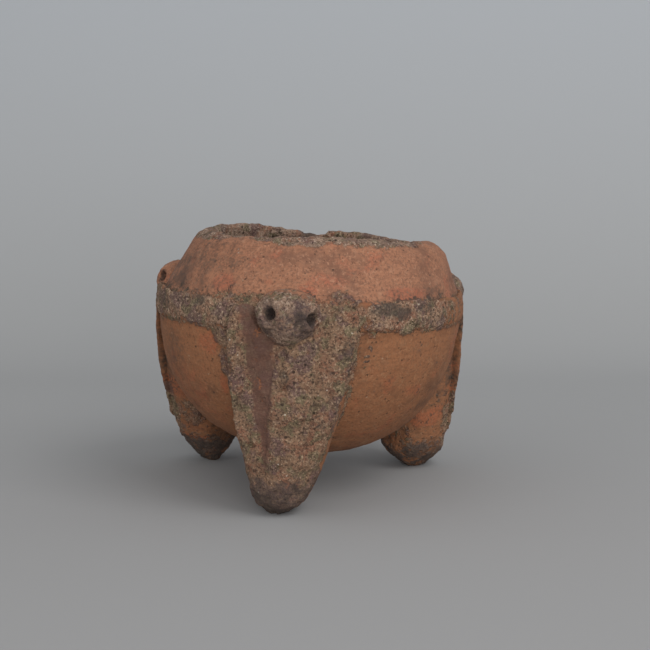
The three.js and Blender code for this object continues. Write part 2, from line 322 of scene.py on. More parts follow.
def turn_wall(name: str, line: Sequence[Vector], steps: int) -> Piece:
    """Turn a line that starts and ends on the axis into a closed round wall.

    Args:
        name: The new piece's name.
        line: Points as distance from the axis and height.
        steps: Number of steps round the axis.

    Returns:
        The turned piece, with each point's place on the line in the attribute "row".
    """
    piece = add_circle(name, len(line), "NOTHING", "row")
    move_points(piece, np.array([(p.x, 0.0, p.y) for p in line]))
    with opened(piece) as shape:
        shape.verts.ensure_lookup_table()
        shape.edges.get((shape.verts[0], shape.verts[-1])).select_set(True)
        bmesh.update_edit_mesh(piece.data)
        bpy.ops.mesh.delete(type="EDGE")
        bpy.ops.mesh.select_all(action="SELECT")
        bpy.ops.mesh.spin(steps=steps, angle=2 * math.pi, center=(0, 0, 0), axis=(0, 0, 1))
        face_outward(MILLIMETRE)
    return piece


def raise_rings(name: str, rings: Sequence[Sequence[Vector]]) -> Piece:
    """Raise a closed form ring by ring, by extruding its upper end.

    Args:
        name: The new piece's name.
        rings: The rings' points, from one end to the other, as many in each.

    Returns:
        The raised piece, softened once and set down on its feet.
    """
    piece = add_circle(name, len(rings[0]), "NGON", "place")
    with opened(piece):
        bpy.ops.mesh.select_all(action="SELECT")
        for number, ring in enumerate(rings):
            if number:
                bpy.ops.mesh.extrude_region_move()
            shape = bmesh.from_edit_mesh(piece.data)
            place = shape.verts.layers.int["place"]
            for vert in shape.verts:
                if vert.select:
                    vert.co = ring[vert[place]]
            bmesh.update_edit_mesh(piece.data)
        face_outward()
    finish_modifier(piece, "SUBSURF", levels=1, render_levels=1)
    STANCE.settle(piece)
    return piece


def knead(piece: Piece, grain: float, passes: int = 3) -> Piece:
    """Give a piece an even fine skin and soften its edges.

    Args:
        piece: The piece to change.
        grain: Size of the skin's faces.
        passes: How many times the edges are smoothed.

    Returns:
        The same piece.
    """
    finish_modifier(piece, "REMESH", mode="VOXEL", voxel_size=grain)
    finish_modifier(piece, "SMOOTH", factor=0.5, iterations=passes)
    return piece


# The jar's own frame


@dataclass(frozen=True)
class Stance:
    """How the jar stands: its lean about +Y, and where its axis meets the floor."""

    lean: float = math.radians(1.8)
    foot: tuple[float, float] = (-0.3317, 3.8519)

    @property
    def matrix(self) -> Matrix:
        """Matrix from the jar's own upright frame to the part's frame."""
        shift = Matrix.Translation((self.foot[0], self.foot[1], 0.0))
        return shift @ Matrix.Rotation(self.lean, 4, "Y")

    def settle(self, piece: Piece) -> None:
        """Set a piece down from the jar's own frame into the part's frame."""
        piece.data.transform(self.matrix)
        piece.data.update()

    def upright(self, places: Points) -> Points:
        """Places seen in the jar's own upright frame."""
        return moved(places, self.matrix.inverted())


STANCE = Stance()


def seen_upright(piece: Piece) -> tuple[Points, Values]:
    """Places of a piece's points in the jar's own frame, and their turns in degrees."""
    own = STANCE.upright(points_of(piece))
    return own, np.degrees(np.arctan2(own[:, 0], -own[:, 1]))


# Coats: how the surface looks from place to place


@dataclass
class Coat:
    """Four shares at each point of a piece, which its material reads.

    Attributes:
        paste: Coarse bare clay, against slip or burnish.
        paint: Dark purple-brown paint.
        ruddy: Reddish smoothed clay.
        grime: Soot and soil, and painted shade in hollows, eye pits, under chins and toes and on
            sides turned from the light.
    """

    paste: Values
    paint: Values
    ruddy: Values
    grime: Values

    @classmethod
    def plain(cls, piece: Piece, paste: float = 0.0) -> Coat:
        """Even coat for a piece with a share of coarse clay."""
        count = len(piece.data.vertices)
        return cls(np.full(count, paste), np.zeros(count), np.zeros(count), np.zeros(count))

    def add(self, **shares: Values) -> None:
        """Raise the named shares wherever these are higher."""
        for name, share in shares.items():
            setattr(self, name, np.maximum(getattr(self, name), share))

    def brush_on(self, piece: Piece) -> None:
        """Store the shares as attributes of a mesh.

        Args:
            piece: The piece that has the mesh.
        """
        for name, share in vars(self).items():
            layer = piece.data.attributes.new(name, "FLOAT", "POINT")
            layer.data.foreach_set("value", np.clip(share, -1.0, 2.0).astype(np.float32))


@dataclass(frozen=True)
class Patch:
    """Patch on the jar's skin: its middle, its reach and the share at its middle."""

    turn: float
    height: float
    half_turn: float
    half_height: float
    strength: float = 1.0
    full: float = 0.45
    end: float = 1.25

    def cover(self, turns: Values, heights: Values) -> Values:
        """Share of the patch at each place.

        Args:
            turns: Turns in degrees.
            heights: Heights in the jar's own frame.

        Returns:
            The share at each place.
        """
        aside = off_turn(turns, self.turn) / self.half_turn
        away = np.hypot(aside, (heights - self.height) / self.half_height)
        return self.strength * (1.0 - ease(away, self.full, self.end))


def cover_all(patches: Iterable[Patch], turns: Values, heights: Values) -> Values:
    """Largest share of several patches at each place.

    Args:
        patches: The patches.
        turns: Turns in degrees.
        heights: Heights in the jar's own frame.

    Returns:
        The share at each place.
    """
    return np.maximum.reduce([patch.cover(turns, heights) for patch in patches])


def pale_share(turns: Values) -> Values:
    """How much of the coarse clay is rubbed off the band, at turns in degrees."""
    return 0.45 * spot(turns, 24.0, 9.0) + 0.75 * spot(turns, 82.0, 34.0)


@dataclass(frozen=True)
class Mark:
    """Dent or lump in the jar's skin: its middle, reach, rise and slant.

    Attributes:
        rise: How far the skin rises at its middle, negative for a dent.
        slant: Turn of the mark on the skin in degrees, its top towards the right.
    """

    turn: float
    height: float
    half_across: float
    half_up: float
    rise: float
    slant: float = 0.0

    def lift(self, places: Points, turns: Values) -> Values:
        """How far the skin rises at each place.

        Args:
            places: Places in the jar's own frame.
            turns: Their turns in degrees.

        Returns:
            The rise at each place.
        """
        across = np.radians(off_turn(turns, self.turn)) * np.hypot(places[:, 0], places[:, 1])
        up = places[:, 2] - self.height
        slant = math.radians(self.slant)
        along = up * math.cos(slant) + across * math.sin(slant)
        aside = across * math.cos(slant) - up * math.sin(slant)
        away = np.hypot(aside / self.half_across, along / self.half_up)
        return self.rise * (1.0 - ease(away, 0.0, 1.0))


MARKS = (
    Mark(-17.4, 65.2, 2.6, 0.9, -0.9, 80.0),
    Mark(-17.2, 66.2, 2.4, 0.8, 0.5, 80.0),
    Mark(14.7, 66.0, 3.2, 2.2, 0.5),
    Mark(19.5, 66.6, 2.4, 2.0, 0.4),
    Mark(-25.0, 55.0, 3.4, 8.0, 0.8),
    Mark(-11.0, 58.4, 0.9, 5.6, -1.2, -34.0),
    Mark(-7.2, 54.0, 0.8, 3.2, -0.9, -40.0),
    Mark(7.6, 56.6, 1.4, 4.4, -0.5, 48.0),
    Mark(-0.5, 64.8, 1.8, 2.6, 0.5, 20.0),
    Mark(4.0, 60.0, 2.2, 2.8, -0.4),
    Mark(-12.4, 49.0, 3.0, 9.0, -0.7, -10.0),
    Mark(-11.4, 38.0, 2.8, 9.0, -0.7, -10.0),
    Mark(-9.6, 26.0, 2.4, 8.0, -0.5, -10.0),
    Mark(-1.6, 50.2, 2.6, 1.2, -1.3, -70.0),
    Mark(-1.9, 39.9, 2.4, 1.3, -1.4, -80.0),
    Mark(-19.3, 54.1, 1.3, 1.5, -1.3),
    Mark(-20.4, 44.4, 1.2, 1.6, -1.1),
    Mark(-16.6, 34.0, 1.4, 1.6, -1.1),
    Mark(-13.0, 22.0, 1.8, 1.6, -1.4),
    Mark(16.5, 51.0, 1.6, 2.2, -1.0),
    Mark(13.5, 38.0, 1.4, 2.4, -1.0),
    Mark(3.5, 44.5, 1.5, 1.2, -0.8),
    Mark(5.0, 30.5, 1.7, 1.3, -1.0),
    Mark(-2.5, 16.0, 1.6, 1.2, -0.8),
    Mark(24.5, 30.3, 0.5, 4.5, -0.35, -20.0),
    Mark(31.0, 54.0, 0.8, 1.2, -0.5),
    Mark(44.0, 66.6, 3.4, 0.9, -0.3, 85.0),
    Mark(40.0, 62.6, 3.6, 2.0, -0.35),
    Mark(-48.0, 63.0, 3.0, 1.6, -0.35),
    Mark(-38.0, 60.6, 2.6, 1.4, 0.4),
    Mark(58.0, 61.6, 2.2, 1.8, 0.45),
)
DARK_BAND = (
    Patch(33.6, 63.2, 7.0, 2.6, 0.78),
    Patch(39.6, 61.8, 5.0, 2.4, 0.7),
    Patch(50.0, 63.0, 5.0, 2.2, 0.4),
    Patch(61.0, 60.8, 4.0, 1.8, 0.3),
    Patch(-37.0, 64.0, 5.0, 2.6, 0.5),
    Patch(-60.0, 61.5, 9.0, 3.0, 0.4),
    Patch(-19.5, 65.0, 3.0, 1.5, 0.6),
    Patch(15.0, 66.0, 4.0, 2.2, 0.35),
    Patch(160.0, 61.5, 12.0, 3.0, 0.8),
    Patch(195.0, 62.5, 9.0, 2.4, 0.7),
)
SMEARS = (
    Patch(-26.0, 55.5, 5.0, 6.0),
    Patch(-25.5, 46.0, 3.0, 6.0, 0.8),
    Patch(-17.0, 66.2, 6.0, 2.0, 0.6),
    Patch(16.0, 66.6, 7.0, 2.6, 0.65),
    Patch(24.0, 62.0, 4.0, 4.0, 0.5),
)
FACE_STAINS = (
    Patch(3.2, 60.6, 2.6, 3.8, 0.9),
    Patch(-5.0, 59.0, 2.0, 2.0, 0.4),
)
FACE_RUBS = (
    Patch(-0.4, 65.2, 2.4, 2.6),
    Patch(0.4, 59.4, 1.2, 1.0),
    Patch(-9.6, 62.0, 2.6, 4.0, 0.8),
    Patch(-1.0, 54.6, 5.0, 1.8, 0.9),
)
# Painted shade on the slip, most of it on the left of the shoulder and bowl, away from the light.
PAINTED_SLIP_SHADE = (
    Patch(-64.0, 69.0, 22.0, 12.0, 0.52),
    Patch(-85.0, 70.0, 16.0, 9.0, 0.44),
    Patch(50.0, 67.0, 20.0, 4.0, 0.4),
    Patch(-56.0, 47.0, 12.0, 8.0, 0.34),
    Patch(-22.5, 76.0, 7.0, 1.6, 0.4),
    Patch(-41.0, 74.0, 22.0, 9.0, 0.42),
)
LEG_REDS = (
    Patch(-104.7, 28.0, 4.0, 5.0),
    Patch(-111.7, 8.8, 1.6, 1.3),
    Patch(107.0, 21.0, 2.2, 4.2, 0.9),
    Patch(-109.0, 13.0, 3.0, 3.0, 0.4),
)
LEG_STAINS = (
    Patch(19.0, 50.0, 3.2, 9.0, 0.5),
    Patch(-1.5, 43.5, 2.0, 2.6, 0.55),
    Patch(-2.2, 33.0, 1.6, 2.0, 0.45),
    Patch(-20.0, 40.0, 1.4, 9.0, 0.45),
    Patch(11.0, 30.0, 2.0, 3.0, 0.4),
)
LEG_SCUFFS = (
    Patch(-105.5, 17.5, 4.5, 7.0),
    Patch(-100.0, 22.0, 4.0, 3.0, 0.8),
    Patch(118.0, 30.0, 8.0, 4.0, 0.8),
    Patch(113.0, 14.0, 6.0, 6.0, 0.8),
)
RED_SPOTS = (
    Patch(-32.4, 51.0, 6.0, 4.0, 0.8),
    Patch(-27.6, 38.5, 2.4, 4.0, 0.9),
    Patch(52.0, 37.0, 7.0, 3.0, 0.5),
    Patch(-50.0, 33.0, 22.0, 14.0, 0.4),
    Patch(-30.0, 70.0, 7.0, 3.0, 0.9),
    Patch(12.0, 71.0, 8.0, 3.0, 0.7),
    Patch(44.0, 67.5, 12.0, 2.6, 0.9),
    Patch(5.0, 68.5, 5.0, 2.0, 0.8),
    Patch(70.0, 64.0, 9.0, 3.0, 0.5),
)


# Joints: fillets of smeared clay between neighbouring pieces


@dataclass(frozen=True)
class Joint:
    """How the clay runs over from a piece to a neighbour.

    Attributes:
        neighbour: Name of the neighbour.
        fillet: Radius of the fillet of clay.
        crown_fillet: Radius above the middle of the neighbour, if it is not the same.
        crease: Depth of the crease pressed in beside the neighbour's lower half.
    """

    neighbour: str
    fillet: float
    crown_fillet: float | None = None
    crease: float = 0.0


@dataclass
class Workshop:
    """The loose pieces on the bench, with their joints, search trees and corners.

    Attributes:
        flatness: How flat a fillet runs out.
        crown_flatness: The same at the top of a neighbour with a fillet of its own there.
        crease_gap: Gap to the neighbour at which a crease is deepest.
        crease_reach: How far from there a crease ends.
        outward: Leaning of the skin, against outward, between which the marks fade in.
    """

    pieces: dict[str, Piece] = field(default_factory=dict)
    joints: dict[str, list[Joint]] = field(default_factory=dict)
    trees: dict[str, BVHTree] = field(default_factory=dict)
    spans: dict[str, tuple[Points, Points]] = field(default_factory=dict)
    flatness: float = 4.0
    crown_flatness: float = 2.8
    crease_gap: float = 0.35
    crease_reach: float = 1.1
    outward: tuple[float, float] = (0.1, 0.4)

    def lay_out(self, piece: Piece, joints: Sequence[Joint]) -> None:
        """Put a settled piece on the bench with its joints."""
        self.pieces[piece.name] = piece
        self.joints[piece.name] = list(joints)

    def join_all(self) -> dict[str, dict[str, Values]]:
        """Run the clay of every piece over to its neighbours as they stand now.

        Returns:
            For each piece, the distance of each of its points to each neighbour.
        """
        graph = bpy.context.evaluated_depsgraph_get()
        for name, piece in self.pieces.items():
            places = points_of(piece)
            self.trees[name] = BVHTree.FromObject(piece, graph)
            self.spans[name] = (places.min(axis=0), places.max(axis=0))
        return {name: self.join(name) for name in self.pieces}

    def gaps(self, places: Points, neighbour: str) -> Values:
        """Signed distances from places to a neighbour's skin.

        Args:
            places: The places to measure from.
            neighbour: Name of the neighbour.

        Returns:
            Distance at each place, negative inside the neighbour, never over FEEL.
        """
        low, high = self.spans[neighbour]
        found = np.full(len(places), FEEL)
        near = ((places > low - FEEL) & (places < high + FEEL)).all(axis=1)
        for index in np.flatnonzero(near):
            place = Vector(places[index])
            hit, normal, _, distance = self.trees[neighbour].find_nearest(place, FEEL)
            if hit is not None:
                found[index] = -distance if (place - hit).dot(normal) < 0.0 else distance
        return found

    def join(self, name: str) -> dict[str, Values]:
        """Run the clay of a piece over to its neighbours, then press the marks in.

        Args:
            name: Name of the piece.

        Returns:
            The distance of each of its points to each neighbour.
        """
        piece = self.pieces[name]
        places = points_of(piece)
        heights = STANCE.upright(places)[:, 2]
        lift = np.zeros(len(places))
        press = np.zeros(len(places))
        distances = {}
        for joint in self.joints[name]:
            low, high = self.spans[joint.neighbour]
            crowned = joint.crown_fillet is not None
            crown = joint.crown_fillet if crowned else joint.fillet
            upper = ease(heights, (low[2] + high[2]) / 2, high[2])
            radius = joint.fillet + (crown - joint.fillet) * upper
            gap = self.gaps(places, joint.neighbour)
            distances[joint.neighbour] = gap
            reach = np.clip(radius - np.abs(gap), 0.0, None)
            crown_flatness = self.crown_flatness if crowned else self.flatness
            flatness = self.flatness + (crown_flatness - self.flatness) * upper
            lift = np.maximum(lift, reach**2 / (flatness * radius))
            crease = spot(gap, self.crease_gap, self.crease_reach) * (1.0 - upper)
            press = np.maximum(press, joint.crease * crease)
        move_points(piece, places + normals_of(piece) * (lift - press)[:, None])
        self.mark(piece)
        return distances

    def mark(self, piece: Piece) -> None:
        """Press the jar's dents and lumps into the outer skin of a piece.

        Args:
            piece: The piece.
        """
        normals = normals_of(piece)
        own, turns = seen_upright(piece)
        away = own[:, :2] / np.maximum(np.hypot(own[:, 0], own[:, 1]), 1.0)[:, None]
        outer = ease((normals[:, :2] * away).sum(axis=1), *self.outward)
        lift = sum(mark.lift(own, turns) for mark in MARKS) * outer
        move_points(piece, points_of(piece) + normals * lift[:, None])


# The wall of the jar


class WallPart(Enum):
    """Pieces that the turned wall is parted into, with the CAD node and slot of each."""

    BOWL = ("bowl", "bowl_clay")
    SHOULDER = ("shoulder", "slipped_clay")
    LIP = ("mouth_lip", "painted_clay")


# Share of the lip that is worn off, by angle from +X counter-clockwise, in degrees.
LIP_WEAR = {
    0.0: 0.62, 15.0: 0.77, 30.0: 0.95, 42.0: 0.95, 50.0: 0.82, 60.0: 0.7, 72.0: 0.6,
    82.0: 0.55, 89.0: 0.56, 91.5: 0.78, 104.0: 0.76, 106.5: 0.55, 118.0: 0.34, 135.0: 0.07,
    150.0: 0.02, 165.0: 0.1, 178.0: 0.24, 195.0: 0.2, 210.0: 0.3, 225.0: 0.45, 240.0: 0.34,
    255.0: 0.27, 270.0: 0.26, 285.0: 0.16, 300.0: 0.26, 315.0: 0.4, 330.0: 0.5, 345.0: 0.56,
    360.0: 0.62,
}


@dataclass
class JarWall:
    """Bowl, shoulder and worn lip, turned as one wall and then parted at the two joints."""

    bowl_depth: float = 50.0
    bowl_fullness: float = 2.3
    wall: float = 6.0
    floor: float = 7.4
    seam_rake: float = 2.2
    shoulder_rise: float = 16.4
    shoulder_crown: float = 0.8
    mouth_inset: float = 7.6
    mouth_drift: float = 2.0
    lip_height: float = 6.9
    lip_lean: float = 6.6
    lip_bend_share: float = 0.4
    lip_nose: float = 2.2
    lip_wear: float = 4.8
    rubs: int = 14
    rub_reach: int = 6
    rub_strength: float = 0.5
    rub_strength_beyond: float = 0.08
    bowl_points: int = 120
    steps: int = 384
    skin: float = 0.85
    lip_skin: float = 0.55
    seams: list[int] = field(default_factory=list)
    seats: list[int] = field(default_factory=list)
    crest: int = 0

    @property
    def mouth_radius(self) -> float:
        """Outer radius at the lip's seat."""
        return BOWL_RADIUS - self.mouth_inset

    @property
    def seat(self) -> float:
        """Height of the lip's seat."""
        return SEAM + self.shoulder_rise

    def bowl_line(self, inset: float, bottom: float, top: float) -> list[Vector]:
        """Line of the bowl from its pole to the seam.

        Args:
            inset: How far inside the outer skin the line lies.
            bottom: Height of the pole.
            top: Height of the seam.

        Returns:
            Evenly spaced points of the line.
        """
        line = []
        for number in range(self.bowl_points + 1):
            angle = math.pi / 2 * number / self.bowl_points
            down, across = squircle(angle, self.bowl_fullness)
            line.append(Vector(((BOWL_RADIUS - inset) * across, top - (top - bottom) * down)))
        line[0].x = 0.0
        return even_steps(line, self.skin)

    def shoulder_line(self, inset: float, drop: float) -> list[Vector]:
        """Line of the shoulder from the seam to the lip's seat.

        Args:
            inset: How far inside the outer skin the line lies.
            drop: How much lower the line starts.

        Returns:
            Evenly spaced points of the line.
        """
        foot = Vector((BOWL_RADIUS - inset, SEAM))
        top = Vector((self.mouth_radius - inset, self.seat))
        line = bezier(foot, (foot + top) / 2 + Vector((self.shoulder_crown, 0.0)), top)
        line[0].y -= drop
        return even_steps(line, self.skin)

    def lip_line(self) -> tuple[list[Vector], list[Vector]]:
        """Line of the unworn lip.

        Returns:
            Its outer and its inner half, both from the outside in.
        """
        outside = Vector((self.mouth_radius, self.seat))
        corner, top, nose = (
            Vector((self.mouth_radius - inward, self.seat + self.lip_height))
            for inward in (
                self.lip_lean * self.lip_bend_share, self.lip_lean, self.lip_lean + self.lip_nose,
            )
        )
        inside = Vector((self.mouth_radius - self.wall, self.seat))
        outer = even_steps(bezier(outside, corner, top), self.lip_skin)
        return outer, even_steps(bezier(top, nose, inside), self.lip_skin)

    def whole_line(self) -> list[Vector]:
        """Line of the whole wall, noting where its seams, seats and crest are.

        Returns:
            The line from the outer pole up, over the lip and down inside.
        """
        pole = SEAM - self.bowl_depth
        outer, inner = self.lip_line()
        line = self.bowl_line(0.0, pole, SEAM)
        ends = [len(line) - 1]
        for stretch in (
            self.shoulder_line(0.0, 0.0), outer, inner,
            self.shoulder_line(self.wall, self.seam_rake)[::-1],
            self.bowl_line(self.wall, pole + self.floor, SEAM - self.seam_rake)[::-1],
        ):
            line += stretch[1:]
            ends.append(len(line) - 1)
        self.seams, self.seats, self.crest = [ends[0], ends[4]], [ends[1], ends[3]], ends[2]
        return self.rub_corners(line)

    def rub_corners(self, line: list[Vector]) -> list[Vector]:
        """Line with soft corners, most of all where lip and shoulder meet.

        Args:
            line: The whole line.

        Returns:
            The rubbed line.
        """
        for _ in range(self.rubs):
            rubbed = [point.copy() for point in line]
            for number in range(1, len(line) - 1):
                near = abs(number - self.seats[0]) < self.rub_reach
                strength = self.rub_strength if near else self.rub_strength_beyond
                middle = (line[number - 1] + line[number + 1]) / 2.0
                rubbed[number] = line[number].lerp(middle, strength)
            line = rubbed
        return line

    def outer_radius(self, heights: Values) -> Values:
        """Radius of the bowl's outer skin at heights, in the jar's own frame."""
        down = np.clip((SEAM - heights) / self.bowl_depth, 0.0, 1.0)
        return BOWL_RADIUS * (1.0 - down**self.bowl_fullness) ** (1.0 / self.bowl_fullness)

    def wear_at(self, angles: Values) -> Values:
        """Share of wear round the lip, with its small chips.

        Args:
            angles: Angles from +X, in radians.

        Returns:
            The share at each angle.
        """
        worn = np.interp(np.degrees(angles) % 360.0, list(LIP_WEAR), list(LIP_WEAR.values()))
        chips = 0.02 * np.sin(angles * 23.0 + 1.0) + 0.015 * np.sin(angles * 41.0 + 2.5)
        return worn + chips * ease(worn, 0.1, 0.3)

    def build(self) -> Piece:
        """Turn the wall, wear its lip and set it down.

        Returns:
            The whole wall as one piece.
        """
        piece = turn_wall("wall", self.whole_line(), self.steps)
        places, rows = points_of(piece), rows_of(piece)
        wear = self.wear_at(np.arctan2(places[:, 1], places[:, 0]))
        sink = self.lip_wear * wear * (places[:, 2] - self.seat) / self.lip_height
        share = np.clip((places[:, 2] - SEAM) / self.shoulder_rise, 0.0, 1.0)
        on_lip = (rows > self.seats[0]) & (rows < self.seats[1])
        places[:, 2] -= np.where(on_lip, sink, 0.0)
        places[:, 0] += self.mouth_drift * share
        move_points(piece, places)
        STANCE.settle(piece)
        return piece

    def coat(self, piece: Piece, gaps: dict[str, Values]) -> Coat:
        """Coat of the whole wall: slip, with bare clay at the seam, joints and lip.

        Args:
            piece: The whole wall.
            gaps: Distances of its points to the neighbours.

        Returns:
            The coat.
        """
        places, turns = seen_upright(piece)
        heights = places[:, 2]
        inner = rows_of(piece) >= self.crest
        head_gaps = [gap for name, gap in gaps.items() if "head" in name]
        band = 1.0 - ease(np.abs(heights - SEAM), 1.0, 8.0)
        edge = 80.4 + 1.7 * spot(turns, -28.0, 22.0) + 0.6 * spot(turns, 14.0, 12.0)
        lip = ease(heights, edge - 0.6, edge + 1.8) * (1.0 - 0.8 * spot(turns, 78.0, 26.0))
        nick = spot(turns % 360.0, 187.0, 12.0) * ease(heights, 75.5, 79.5)
        bare = np.maximum.reduce([
            band * (1.0 - pale_share(turns)) * 0.95,
            (1.0 - ease(np.minimum.reduce(list(gaps.values())), 0.2, 3.0)) * 0.75,
            (1.0 - ease(np.minimum.reduce(head_gaps), 0.0, 4.0)) * 0.62,
            lip * 0.9,
            cover_all(SMEARS, turns, heights),
        ])
        coat = Coat.plain(piece)
        coat.paste = np.where(inner, 0.85, bare)
        coat.paint = np.where(inner, 0.1 + 0.9 * nick, 0.36 * lip)
        coat.ruddy = cover_all(RED_SPOTS, turns, heights) * (1.0 - inner)
        # Darker towards the bottom of the bowl.
        below = 1.0 - ease(heights, 11.0, 26.0)
        # Dark patches on the band, and painted shade on the slip patches of the second list.
        coat.add(grime=np.maximum(0.25 * below, cover_all(DARK_BAND + PAINTED_SLIP_SHADE, turns, heights)))
        coat.grime = np.where(inner, 0.4 * nick, coat.grime)
        return coat

    def part(self, piece: Piece) -> dict[WallPart, Piece]:
        """Part the wall at its two joints and close each part.

        Args:
            piece: The whole wall.

        Returns:
            The bowl, shoulder and lip.
        """
        (seam, seam_in), (seat, seat_in) = self.seams, self.seats
        parts: dict[WallPart, Piece] = {}
        for part, spans in (
            (WallPart.LIP, [(seat, seat_in)]),
            (WallPart.SHOULDER, [(seam, seat), (seat_in, seam_in)]),
        ):
            with opened(piece, "FACE") as shape:
                row = shape.verts.layers.int["row"]
                for face in shape.faces:
                    rows = [vert[row] for vert in face.verts]
                    if any(min(rows) >= low and max(rows) <= high for low, high in spans):
                        face.select_set(True)
                bmesh.update_edit_mesh(piece.data)
                bpy.ops.mesh.separate(type="SELECTED")
            parts[part] = next(o for o in bpy.context.selected_objects if o is not piece)
        parts[WallPart.BOWL] = piece
        for part, rims in (
            (WallPart.BOWL, [self.seams]),
            (WallPart.SHOULDER, [self.seams, self.seats]),
            (WallPart.LIP, [self.seats]),
        ):
            for rim in rims:
                self.close_rim(parts[part], rim)
            parts[part].name = "clay_" + part.value[0]
        return parts

    def close_rim(self, piece: Piece, rim: Sequence[int]) -> None:
        """Bridge the outer and inner edge of a parted wall.

        Args:
            piece: The open part.
            rim: Rows of the outer and the inner edge.
        """
        with opened(piece) as shape:
            row = shape.verts.layers.int["row"]
            for edge in shape.edges:
                rows = {vert[row] for vert in edge.verts}
                if edge.is_boundary and len(rows) == 1 and rows <= set(rim):
                    edge.select_set(True)
            bmesh.update_edit_mesh(piece.data)
            bpy.ops.mesh.bridge_edge_loops()


# The legs


class Side(Enum):
    """The three legs, by where they stand as seen from the front."""

    FRONT = "front"
    RIGHT = "right"
    LEFT = "left"


class Hand(Enum):
    """The two sides of a leg, seen from outside."""

    LEFT = -1
    RIGHT = 1

    @property
    def word(self) -> str:
        """The hand in lower letters, for names."""
        return self.name.lower()


@dataclass(frozen=True)
class Section:
    """Section of a leg at a height."""

    centre: Vector
    out: Vector
    across: Vector
    half_width: float
    half_depth: float

    def ring(self, squareness: float, count: int) -> list[Vector]:
        """Points round the section.

        Args:
            squareness: 2 for an ellipse, more for fuller corners.
            count: Number of points.

        Returns:
            The points.
        """
        points = []
        for number in range(count):
            across, out = squircle(2.0 * math.pi * number / count, squareness)
            aside = self.across * (across * self.half_width)
            points.append(self.centre + aside + self.out * (out * self.half_depth))
        return points


@dataclass(frozen=True)
class Roll:
    """Roll of clay laid on a leg's face."""

    foot: float
    top: float
    across_share: float
    half_width: float
    proud: float
    foot_share: float
    foot_proud_share: float
    rings: int = 18
    points: int = 20


